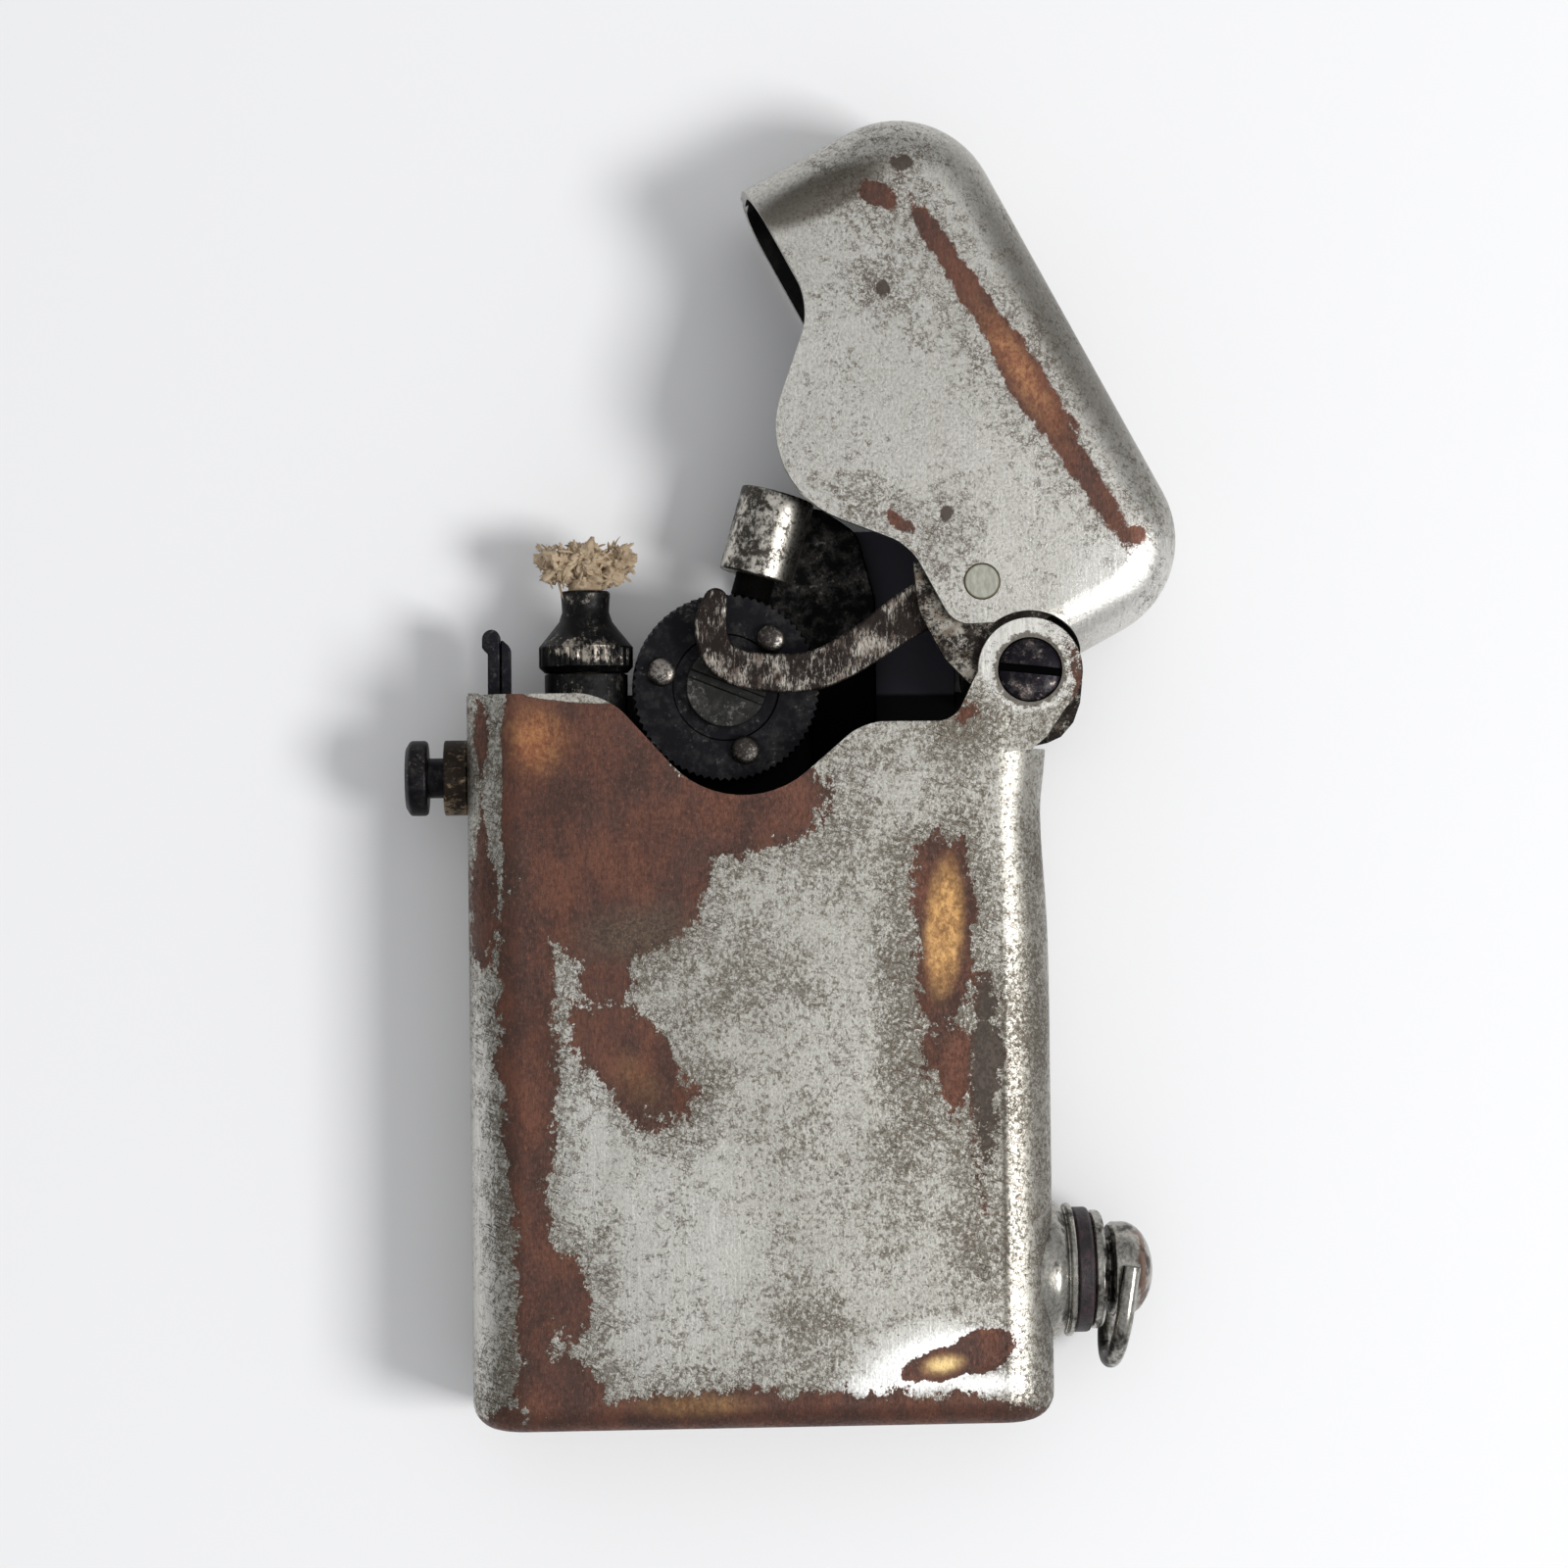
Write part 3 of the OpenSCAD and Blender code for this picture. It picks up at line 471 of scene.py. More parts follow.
def worn_plate(name, marks, fray, pitted, dull, bright):
    """Nickel plate over copper-brown metal, with the marks on its front that a function gives.

    The marks are where the plate is worn off, where the copper glows and in what tone, where it is sooty or
    umber, where the nickel is polished and where painted highlights light it, where oil and dirt cling and
    where painted shade dims it, and how worn the sides and back are.
    fray is how ragged the rims are, and pitted how pitted the nickel is between dull and bright."""
    heavy = fray / 3.0
    plate = Recipe(name)
    front = plate.axis("Z").between(5.0, 8.5)
    worn, glow, tone, sooty, umber, polish_and_highlight, painted_highlight, oil_and_shade, dirt, back = marks(plate)
    ragged = (plate.noise((2.0, 2.6, 2.0), 4.0, 0.65) - 0.5) * fray
    crumbs = (plate.noise((0.36, 0.45, 0.36), 3.0, 0.75) - 0.5) * fray * 0.7
    field = worn * front + back * (1.0 - front) + ragged + crumbs
    bare = field.between(-0.05, 0.12)
    halo = field.between(-3.0, -0.1)
    polish_and_highlight = polish_and_highlight * front
    dirt = dirt * front
    mottle = plate.noise((0.18, 0.24, 0.18), 5.0, 0.8).between(0.36, 0.64)
    clouds = plate.noise((4.5, 7.0, 4.5), 3.0)
    grey = plate.mix(mottle * (0.8 - polish_and_highlight * 0.35) + clouds * 0.5 - 0.12 + polish_and_highlight * 0.5, dull, bright)
    streaks = plate.noise((0.13, 3.5, 0.3), 3.0, 0.7).between(0.48, 0.72)
    grey = plate.mix(streaks * (0.2 + polish_and_highlight * 0.8), grey, tuple(0.3 + 0.7 * b for b in bright))
    brushed = plate.noise((0.14, 2.8, 0.3), 3.0, 0.7, 4.0, 11.0).between(0.5, 0.66)
    grey = plate.mix(brushed * (0.06 + polish_and_highlight * 0.6), grey, BRUSHED)
    crowd = plate.noise((3.6, 4.6, 3.6), 2.0)
    pits = (
        plate.noise((0.26, 0.3, 0.26), 4.0, 0.75) + crowd * 0.34 + halo * 0.05 + dirt * 0.05 - polish_and_highlight * 0.1
        + pitted).between(0.705, 0.755)
    pits = pits.highest(
        (plate.noise((0.45, 0.55, 0.45), 4.0, 0.75) + dirt * 0.1 + pitted).between(0.67, 0.73) * 0.9)
    # The polished share lightens the nickel; at the lid's lower right corner and low on the case's right it
    # is a painted highlight.
    grey = plate.mix(polish_and_highlight * 0.35, grey, POLISHED)
    grey = plate.mix(pits * 0.7, grey, GRIT)
    bend = plate.noise((0.6, 0.42, 0.6), 3.0, 0.65) - 0.5
    hook = plate.noise((0.34, 0.5, 0.34), 2.0, 0.6, 35.0, 6.0) - 0.5
    trails = (1.0 - (bend * bend).between(0.0003, 0.0016)).highest(
        1.0 - (hook * hook).between(0.0002, 0.0011))
    where = (
        plate.noise((0.8, 0.7, 0.8), 3.0, 0.6, 0.0, 2.0) + crowd * 0.25 + halo * 0.16 + dirt * 0.11
        - polish_and_highlight * 0.09)
    grey = plate.mix(trails * (where + pitted).between(0.6, 0.78) * 0.75, grey, TRAIL)
    light = plate.noise((0.16, 0.2, 0.16), 4.0, 0.8, 0.0, 8.0).between(0.52, 0.7)
    grey = plate.mix(light * 0.5, grey, FLECK)
    wander = plate.noise((1.4, 1.4, 1.4), 2.0) * 0.55
    scratches = (plate.noise((0.09, 1.3, 1.0), 3.0, 0.6, 66.0) + halo * 0.05).between(0.64, 0.69).highest(
        (plate.noise((0.08, 0.9, 1.0), 3.0, 0.6, -24.0, 9.0) + halo * 0.05).between(0.65, 0.7))
    crossed = (halo * 0.85 + dirt * 0.3 + wander - 0.1).between(0.0, 1.0)
    grey = plate.mix(scratches * crossed * heavy, grey, SCRATCH)
    shine = plate.noise((0.09, 0.9, 1.0), 3.0, 0.6, 12.0, 5.0).between(0.64, 0.7).highest(
        plate.noise((0.08, 0.7, 1.0), 3.0, 0.6, -52.0, 7.0).between(0.66, 0.72) * 0.7)
    grey = plate.mix(shine * (0.45 + polish_and_highlight * 0.5), grey, GLINT)
    stain = (
        plate.noise((0.8, 0.5, 0.8), 5.0, 0.8, 25.0, 4.0) + halo * 0.07 + dirt * 0.06).between(0.68, 0.74)
    grey = plate.mix(stain * heavy * 0.85, grey, STAIN)
    # Oil stains and painted shade darken the plate here.
    grey = plate.mix(oil_and_shade * front * 0.88, grey, OIL_AND_SHADE)
    # A painted highlight goes on here: near-white patches, broken up by shreds of noise.
    shreds = (plate.noise((0.22, 0.3, 0.22), 4.0, 0.75, 0.0, 5.0) - 0.5) * 1.6
    grey = plate.mix((painted_highlight + shreds).between(-0.3, 0.5) * front * 0.85, grey, HIGHLIGHT_WHITE)
    cloudy = plate.noise((2.2, 4.5, 2.2), 4.0, 0.6).between(0.35, 0.7)
    brown = plate.mix(cloudy, DARK_BROWN, RED_BROWN)
    speckled = plate.noise((0.22, 0.4, 0.22), 4.0, 0.75, 0.0, 3.0).between(0.5, 0.68)
    brown = plate.mix(speckled * 0.5, brown, COPPER)
    burnt = plate.noise((0.11, 0.5, 0.3), 4.0, 0.8).between(0.45, 0.68)
    brown = plate.mix(burnt * 0.6, brown, BURNT)
    ember = plate.noise((0.45, 0.6, 0.45), 4.0, 0.75).between(0.36, 0.66)
    brown = plate.mix(glow * front * (0.42 + ember * 0.58), brown, plate.mix(ember * 0.4, tone, PALE_GOLD))
    brown = plate.mix(sooty * front, brown, SOOTY_BROWN)
    rim = 1.0 - field.between(0.05, 0.75)
    brown = plate.mix(rim * wander * heavy, brown, RIM_BROWN)
    brown = plate.mix(trails * sooty * front * umber * 0.6, brown, UMBER)
    colour = plate.mix(bare, grey, brown)
    rough = 0.35 + pits * 0.2 + bare * 0.16 - mottle * 0.05 + oil_and_shade * front * 0.14
    height = mottle * 0.5 + streaks * 0.15 - bare * 0.6 + plate.noise((4.0, 6.0, 4.0), 1.0) * 2.0
    return plate.finish(colour, rough, 1.0, height, 0.01)


def case_marks(plate):
    """The marks of the case's front, as listed ovals."""
    worn = plate.patches([
        (-12.0, 16.6, 4.4, 10.4), (-9.6, 14.6, 4.9, 9.4), (-7.6, 11.4, 4.5, 5.2), (-1.6, 15.3, 6.2, 3.2, 8),
        (-14.4, 3.0, 1.8, 16.0), (-17.2, 10.6, 1.3, 5.0), (-14.0, -14.0, 1.3, 10.0), (-12.0, -14.8, 1.3, 2.6),
        (-12.6, -20.4, 3.2, 2.2, -20), (-8.1, -0.3, 4.8, 2.6, -52), (-9.6, 4.6, 1.5, 2.0, 20),
        (11.1, 6.4, 1.7, 6.9, -4), (11.2, 9.4, 1.9, 3.7), (13.6, -1.6, 1.15, 6.3), (12.0, -0.8, 1.0, 2.8),
        (0.0, -23.2, 20.0, 2.75), (20.1, 22.4, 0.6, 2.6, 8), (12.8, 20.7, 0.6, 0.45),
        (-17.0, 19.6, 1.2, 3.0)])
    worn = worn.highest(plate.patches([(13.2, -18.3, 2.2, 1.35, 14), (11.2, -18.95, 2.8, 1.0, 14)]) * 3.0)
    flakes = plate.patches([(-16.3, 18.2, 0.5, 5.8), (-17.7, 15.6, 0.35, 4.4)]).between(-0.4, 0.4) * 1.25
    worn = worn - flakes - plate.patch(-11.3, 22.0, 2.5, 0.3, -4).between(-0.15, 0.1) * 6.0
    tone = plate.mix(plate.axis("X").between(-11.0, -6.0), (0.52, 0.185, 0.07), (0.6, 0.34, 0.13))
    glow = plate.patch(11.2, 7.6, 1.65, 5.6, -4).between(0.1, 1.0).highest(
        plate.patch(-13.7, 19.4, 2.8, 3.2, 20).between(0.0, 2.6) * 0.6)
    spark = plate.patch(10.8, -19.1, 1.4, 0.65, 8).between(-0.2, 0.5)
    tone = plate.mix(spark, tone, (1.0, 0.76, 0.36))
    glow = glow.highest(spark)
    glow = glow.highest(plate.patch(-4.4, -21.3, 4.2, 0.9).between(-0.2, 0.7) * 0.36)
    glow = glow.highest(plate.patch(-7.8, -1.4, 2.6, 1.3, -48).between(-0.4, 1.2) * 0.16)
    umber = plate.patch(-7.8, 7.6, 4.2, 2.0, 8).between(-0.8, 1.6)
    sooty = plate.patch(13.9, -1.6, 1.25, 6.8).between(-0.2, 0.4).highest(umber * 0.6)
    # The patch low on the right is brightened as a painted highlight; the others are polished nickel.
    polish_and_highlight = plate.patch(9.3, -18.6, 4.2, 1.9, 14).between(-0.8, 0.9).highest(
        plate.patch(-6.0, -12.5, 5.5, 8.5).between(-3.0, 3.0) * 0.4)
    polish_and_highlight = polish_and_highlight.highest(plate.patch(HINGE.x, HINGE.y + 0.5, 3.1, 3.1).between(-0.2, 0.2) * 0.75)
    polish_and_highlight = polish_and_highlight.highest(plate.patch(-17.3, -9.0, 1.0, 14.0).between(-0.3, 0.5) * 0.8).highest(
        plate.patch(-10.9, -2.0, 1.9, 10.0).between(-1.0, 1.2) * 0.5)
    # The near-white patches low on the right are a painted highlight.
    painted_highlight = plate.patches([(10.6, -18.9, 4.7, 1.75, 14), (7.2, -20.3, 2.6, 0.8), (13.0, -20.3, 2.6, 0.7)])
    fringe = (plate.noise((0.32, 0.32, 0.32), 4.0, 0.7) - 0.5) * 1.3
    # The ring round the ear is an oil stain and the thin line runs where the flat meets the right edge; the
    # wide band over the right edge's rounding is painted shade that dims its highlight.
    oil_and_shade = plate.patch(14.75, -8.0, 0.17, 12.5).between(-0.2, 0.2).highest(
        (plate.patch(HINGE.x, HINGE.y, 2.3, 2.3) + fringe).between(-0.08, 0.1)).highest(
        plate.patch(16.7, 0.0, 1.35, 21.5).between(-0.4, 0.7) * 0.45)
    dirt = plate.patches([
        (3.0, -17.0, 2.6, 1.6), (-0.8, 4.4, 3.2, 2.4, 20), (12.4, 19.6, 3.0, 1.6), (15.6, 20.4, 2.2, 1.0),
        (17.2, 0.0, 1.4, 21.0), (8.5, 2.0, 2.0, 9.0)]).between(-1.4, 1.4)
    back = (plate.noise((14.0, 14.0, 14.0), 2.0) - 0.75) * 9.0
    return worn, glow, tone, sooty, umber, polish_and_highlight, painted_highlight, oil_and_shade, dirt, back


# The inside of the case and lid is painted near black, with a faint sooty mottle, as the shade inside the
# box.
inside_shade = Recipe("soot_and_shade_inside")
shade_clouds = inside_shade.noise((1.0, 1.0, 1.0), 4.0, 0.65)
shade_colour = inside_shade.mix(shade_clouds.between(0.4, 0.75), (0.006, 0.006, 0.006), (0.03, 0.026, 0.022))
shaded_inside_metal = inside_shade.finish(shade_colour, 0.6, 0.6, shade_clouds, 0.03)
case_plate = worn_plate(
    "worn_case_plate", case_marks, fray=2.8, pitted=0.0, dull=(0.26, 0.25, 0.215),
    bright=(0.54, 0.525, 0.475))
blacken_inside(case, (-13.0, -18.0, 5.0), (13.0, 60.0, 6.0))
settle(case, "case_sheet", "case", case_plate, "nickel_plate", "case_shell", soft=0.05, inside=shaded_inside_metal)

# The lid is drawn from the same sheet, with a tongue that fills the scoop when it is shut.
# It turns on the hinge screw, and the claw's rivet is set flush in its front.
lid = drawn_sheet(x0=-34.7, x1=0.7, closed_y=13.1, open_y=-12.0, corner=6.3, edge=EDGE, end=EDGE)
below_tongue = [
    (-FAR, -FAR, 0), (-FAR, -0.85, 0), *scoop_line(0.35), (-2.87, 1.0, 0), (FAR, 1.0, 0), (FAR, -FAR, 0)]
RIVET = Vector((-2.9, 5.45, 0.0))
rivet_shut = Matrix.Rotation(-OPEN, 3, "Z") @ RIVET
for cut in (
        prism(below_tongue, MID, 2 * THICK),
        prism(oblong(-FAR, -FAR, FAR, -0.6), -CLEAR, MID + 0.01),
        rod(0.0, 0.0, EAR_RADIUS + 0.3, -CLEAR, MID, 96),
        rod(0.0, 0.0, EAR_RADIUS + 0.44, MID, THICK + CLEAR, 96),
        rod(rivet_shut.x, rivet_shut.y, 1.13, MID, THICK + 5.0)):
    lid = carve(lid, cut)
blacken_inside(lid, (-30.0, -60.0, 5.0), (-4.0, 8.5, 6.0))
lid_turn = Matrix.Translation(HINGE) @ Matrix.Rotation(OPEN, 4, "Z")
bmesh.ops.transform(lid, matrix=lid_turn, verts=lid.verts[:])


def lid_marks(plate):
    """The same for the front of the open lid."""
    worn = plate.patches([
        (12.8, 47.5, 6.2, 0.85, -58), (16.6, 41.4, 6.6, 1.2, -58), (20.6, 34.9, 5.2, 0.8, -58),
        (23.2, 31.6, 0.9, 0.6), (7.6, 52.7, 1.4, 0.75, -30), (8.7, 32.6, 1.1, 0.5, -35),
        (8.0, 46.9, 0.5, 0.5), (9.3, 54.7, 0.55, 0.35), (11.6, 33.0, 0.55, 0.4, 60),
        (16.1, 43.8, 0.8, 0.35, -58), (19.5, 38.6, 0.7, 0.35, -58)])
    glow = plate.patch(16.2, 42.0, 6.5, 1.4, -58).between(0.0, 1.2) * 0.62
    sooty = plate.patches([
        (8.0, 46.9, 0.9, 0.9), (9.3, 54.7, 0.9, 0.6), (11.6, 33.0, 0.9, 0.7, 60)]).between(-0.3, 0.2)
    # Brightened round the lid's lower right corner, as a painted highlight.
    polish_and_highlight = plate.patch(23.2, 28.2, 4.2, 3.4, 40).between(-1.5, 2.0)
    # A painted highlight lies at the lid's lower right corner.
    painted_highlight = plate.patch(22.6, 27.6, 0.5, 1.6, -30) - 0.6
    # Both bands are painted shade: dark reflections on the roundings of the lid's top left edge and its right
    # side.
    oil_and_shade = plate.patch(4.0, 52.7, 5.4, 1.45, 25).between(-0.25, 0.6).highest(
        plate.patch(18.9, 44.4, 11.8, 1.5, -60).between(-0.8, 0.9) * 0.76)
    dirt = plate.patches([(8.4, 48.0, 5.6, 3.4, -60), (8.0, 33.0, 3.4, 2.0)]).between(-2.0, 2.4) * 0.45
    back = (plate.noise((14.0, 14.0, 14.0), 2.0) - 0.8) * 9.0
    return worn, glow, (0.46, 0.17, 0.085), sooty, 0.0, polish_and_highlight, painted_highlight, oil_and_shade, dirt, back


lid_plate = worn_plate(
    "worn_lid_plate", lid_marks, fray=1.1, pitted=-0.06, dull=(0.33, 0.32, 0.28),
    bright=(0.6, 0.585, 0.545))
settle(lid, "lid_sheet", "lid", lid_plate, "nickel_plate", "lid_shell", soft=0.05, inside=shaded_inside_metal)


def from_cad(node):
    """A merged copy of a CAD node's mesh, in millimetres."""
    shape = bmesh.new()
    shape.from_mesh(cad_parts[node].data)
    bmesh.ops.scale(shape, vec=(1 / MM, 1 / MM, 1 / MM), verts=shape.verts[:])
    bmesh.ops.remove_doubles(shape, verts=shape.verts[:], dist=0.003)
    bmesh.ops.dissolve_limit(
        shape, angle_limit=math.radians(0.6), use_dissolve_boundaries=False, verts=shape.verts[:],
        edges=shape.edges[:], delimit=set())
    return shape


def refine(node, name, body, material, slot, **finish):
    """Makes the finished piece from the CAD node's own mesh."""
    return settle(from_cad(node), name, body, material, slot, node, **finish)


def dress(material, *nodes):
    """Gives CAD nodes that are right as they are their finish."""
    for node in nodes:
        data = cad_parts[node].data
        data.materials.clear()
        data.materials.append(material)


# The black of painted shade, for parts deep in the case or in a recess.
SHADE_BLACK = (0.002, 0.002, 0.002)
DUST = (0.1, 0.094, 0.088)


def tarnished(name, dark, bright, shown, grain=(0.3, 0.3, 0.3), rough=0.42, depth=0.01, warm=None, dusty=0.3,
              spot=None, boost=0.2, clear=None, along="Y"):
    """Metal that is black with soot and oil, and bright where it rubs. shown is the bright share.

    spot is a patch that is rubbed more. Along an axis the metal is painted black, as shade, up to the first
    value of clear, and as it should be from the second."""
    metal = Recipe(name)
    clouds = metal.noise((1.7, 1.7, 1.7), 3.0)
    worn = metal.noise(grain, 5.0, 0.75) + (clouds - 0.5) * 0.6
    if spot is not None:
        worn = worn + metal.patch(*spot).between(-0.2, 0.4) * boost
    rubbed = worn.between(0.68 - shown * 0.4, 0.86 - shown * 0.36)
    dust = (metal.noise((0.7, 0.7, 0.7), 5.0, 0.75) + (clouds - 0.5) * 0.5).between(0.42, 0.75)
    if clear is not None:
        seen = metal.axis(along).between(*clear)
        dust = dust * seen
        rubbed = rubbed * seen
        dark = metal.mix(seen, SHADE_BLACK, dark)
    colour = metal.mix(dust * dusty, dark, DUST)
    if warm is not None:
        bright = metal.mix(metal.noise((0.8, 0.8, 0.8), 3.0).between(0.35, 0.7), bright, warm)
    colour = metal.mix(rubbed, colour, bright)
    height = (
        metal.noise(grain, 3.0, 0.6) * 0.5 + metal.noise((0.16, 0.16, 0.16), 2.0) * 0.3
        + rubbed * 0.2 + metal.noise((0.8, 0.8, 0.8), 2.0) * 0.6)
    return metal.finish(colour, rough + 0.16 - rubbed * 0.16, 1.0, height, depth)


# The petrol tank is the closed lower half of the case, packed with cotton round the wick's cord.
# A plate soldered across the case shuts it, and the mechanism's back plate stands on that.
tank_metal = tarnished("sooty_brass", (0.012, 0.012, 0.013), (0.09, 0.075, 0.055), 0.2)
cotton = Recipe("tank_cotton")
cotton_colour = cotton.mix(cotton.noise((0.5, 0.5, 2.0)), (0.55, 0.5, 0.4), (0.8, 0.76, 0.66))
cotton_lint = cotton.noise((0.3, 0.3, 0.9), 5.0, 0.7)
dress(cotton.finish(cotton_colour, 0.9, 0.0, cotton_lint, 0.2), "cotton_wadding")
dress(tank_metal, "tank_plate", "wheel_post", "flint_plug", "latch_pin")

# The mechanism's back plate is blued steel, seen behind the claw and through the hinge.
# Inside the case no light reaches it, so it is painted black below the case's edge, as shade.
back_plate = Recipe("blue_black_back_plate")
upper = back_plate.axis("Y").between(22.2, 22.5)
blued = back_plate.mix(back_plate.noise((3.0, 3.0, 3.0)), (0.052, 0.051, 0.066), (0.074, 0.072, 0.09))
back_colour = back_plate.mix(upper, SHADE_BLACK, blued)
back_metal = back_plate.finish(
    back_colour, 0.6, 0.0, back_plate.noise((0.4, 0.4, 0.4)), 0.01, **{"Specular IOR Level": 0.12})
refine("mechanism_plate", "back_plate", "case", back_metal, "blue_black_steel", soft=0.06)

# The burner is a brass tube up from the tank, and its knurled nozzle screws on.
# The nozzle is black with soot, and its knurls are rubbed bright.
burner_metal = tarnished(
    "sooty_burner", (0.012, 0.012, 0.0125), (0.36, 0.32, 0.27), 0.22, (0.3, 0.55, 0.3), rough=0.34,
    spot=(-10.3, 25.0, 2.1, 0.85))
refine("burner_tube", "burner_stem", "case", burner_metal, "blackened_brass", soft=0.08)
refine("burner_nozzle", "burner_cone", "case", burner_metal, "blackened_brass", soft=0.06, angle=28.0)

# The wick is a twisted cotton cord that comes up through the nozzle.
# Its end is teased out into a loose tuft of fibres, a little scorched.
CLUMPS = [
    (0.0, 6.15, 0.0, 1.2), (-1.7, 6.9, 0.4, 1.15), (1.5, 6.9, -0.3, 1.2), (0.0, 7.4, 0.3, 1.2),
    (-0.6, 7.6, -0.5, 1.05), (2.2, 7.4, 0.2, 0.95), (-2.3, 7.5, -0.2, 0.85)]
COARSE_LOCKS = 26
FINE_LOCKS = 46
CORD_LOW = -21.4
CORD_TOP = 6.1
BURNER = Vector((HINGE.x - 27.3, HINGE.y, MID))
fibre = random.Random(7)
wick_fibre = Recipe("wick_cotton")
scorch = wick_fibre.noise((1.3, 1.3, 1.3), 3.0).between(0.45, 0.75)
wick_colour = wick_fibre.mix(wick_fibre.noise((0.4, 0.4, 0.4), 4.0), (0.4, 0.285, 0.17), (0.78, 0.63, 0.45))
wick_colour = wick_fibre.mix(scorch * 0.5, wick_colour, (0.22, 0.13, 0.065))
wick_material = wick_fibre.finish(
    wick_colour, 0.92, 0.0, wick_fibre.noise((0.12, 0.12, 0.12), 4.0, 0.7), 0.12)

tuft = rod(0.0, 0.0, 1.02, CORD_LOW, CORD_TOP, 24)
bmesh.ops.transform(
    tuft, verts=tuft.verts[:], matrix=Matrix.Translation(BURNER) @ Matrix.Rotation(-math.pi / 2, 4, "X"))
tuft_low, tuft_high = (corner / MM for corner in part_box("wick"))


def grow(shape, rim):
    """Draws a ring of edges out into a new ring in the same place, and gives its vertices and edges."""
    made = bmesh.ops.extrude_edge_only(shape, edges=rim)["geom"]
    verts = [part for part in made if isinstance(part, bmesh.types.BMVert)]
    edges = [
        part for part in made
        if isinstance(part, bmesh.types.BMEdge) and all(v in verts for v in part.verts)]
    return verts, edges


def strand(shape, root, way, length, thickness, curl):
    """Adds one fibre to a mesh, from its root outwards, which curls as it goes."""
    hair = bmesh.new()
    bmesh.ops.create_circle(
        hair, cap_ends=True, segments=4, radius=thickness,
        matrix=Matrix.Translation(root) @ way.to_track_quat("Z", "Y").to_matrix().to_4x4())
    rim = hair.edges[:]
    bends = 6
    for step in range(bends):
        verts, rim = grow(hair, rim)
        way = (way + curl * 0.5).normalized()
        bmesh.ops.translate(hair, verts=verts, vec=way * (length / bends))
    bmesh.ops.pointmerge(hair, verts=verts, merge_co=sum((v.co for v in verts), Vector()) / len(verts))
    data = bpy.data.meshes.new("hair")
    hair.to_mesh(data)
    hair.free()
    shape.from_mesh(data)
    bpy.data.meshes.remove(data)


def loose(spread):
    """A random direction."""
    return Vector((fibre.gauss(0, spread), fibre.gauss(0, spread), fibre.gauss(0, spread)))


def lock(middle, way, radius, reach, thickness, curl):
    """A lock of fibres from a clump, shorter where it would leave the wick's room."""
    root = middle + way * radius * 0.6
    tip = middle + way * radius * (0.6 + reach)
    if not all(low < place < high for low, place, high in zip(tuft_low, tip, tuft_high)):
        reach = reach * 0.4
    strand(tuft, root, way, radius * reach, thickness, curl)


for x, y, z, radius in CLUMPS:
    middle = BURNER + Vector((x, y, z))
    clump = bmesh.ops.create_icosphere(
        tuft, subdivisions=4, radius=radius * 0.78, matrix=Matrix.Translation(middle))
    for vert in clump["verts"]:
        away = (vert.co - middle).normalized()
        vert.co += away * radius * 0.62 * noise.fractal(vert.co * 1.7, 0.6, 2.2, 4)
    for n in range(COARSE_LOCKS):
        way = (loose(1.0) + Vector((0.0, 0.25, 0.15))).normalized()
        lock(middle, way, radius, fibre.uniform(0.7, 1.3), fibre.uniform(0.07, 0.12), loose(1.3))
    for n in range(FINE_LOCKS):
        way = (loose(1.0) + Vector((0.0, 0.2, 0.1))).normalized()
        lock(middle, way, radius, fibre.uniform(0.4, 0.8), fibre.uniform(0.02, 0.04), loose(0.8))
for vert in tuft.verts:
    for axis in range(3):
        vert.co[axis] = min(max(vert.co[axis], tuft_low[axis]), tuft_high[axis])
bmesh.ops.recalc_face_normals(tuft, faces=tuft.faces[:])
teased_wick = settle(
    tuft, "teased_wick", "case", wick_material, "wick_cotton", "wick", angle=80.0, weighted=False)
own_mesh(teased_wick)

# The spark wheel is a hardened steel drum, file-cut all round so that it bites the flint.
# Three domed pins are riveted in its face, and a big slotted screw holds it on its post.
AXLE = (HINGE.x - 18.6, HINGE.y - 0.75)
WHEEL_RADIUS = 5.83
WHEEL_ROOT = 5.62
WHEEL_BORE = 1.26
WHEEL_BACK = 3.75
WHEEL_FRONT = 7.25
TEETH = 72
wheel_metal = tarnished(
    "file_cut_steel", (0.014, 0.014, 0.0165), (0.12, 0.112, 0.105), 0.16, depth=0.02, rough=0.4, dusty=0.28)
wheel = bmesh.new()
start = bmesh.ops.create_circle(
    wheel, cap_ends=False, segments=TEETH * 2, radius=WHEEL_RADIUS,
    matrix=Matrix.Translation((0.0, 0.0, WHEEL_BACK)))
for n, vert in enumerate(start["verts"]):
    if n % 2:
        vert.co.xy *= WHEEL_ROOT / WHEEL_RADIUS
rim = wheel.edges[:]
slices = 7
slant = Matrix.Rotation(math.radians(1.6), 3, "Z")
for step in range(slices):
    ring, rim = grow(wheel, rim)
    bmesh.ops.translate(wheel, verts=ring, vec=(0.0, 0.0, (WHEEL_FRONT - WHEEL_BACK) / slices))
    bmesh.ops.rotate(wheel, verts=ring, cent=(0.0, 0.0, 0.0), matrix=slant)
face_rings = [(0.0, 5.5), (0.0, 3.35), (0.15, 3.25), (0.15, WHEEL_BORE)]
for sunk, radius in face_rings:
    ring, rim = grow(wheel, rim)
    for vert in ring:
        vert.co.xy = vert.co.xy.normalized() * radius
        vert.co.z = WHEEL_FRONT - sunk
rim = [e for e in wheel.edges if all(abs(v.co.z - WHEEL_BACK) < SAME for v in e.verts)]
ring, rim = grow(wheel, rim)
for vert in ring:
    vert.co.xy = vert.co.xy.normalized() * WHEEL_BORE
bmesh.ops.bridge_loops(wheel, edges=[e for e in wheel.edges if e.is_boundary])
bmesh.ops.translate(wheel, verts=wheel.verts[:], vec=(*AXLE, 0.0))
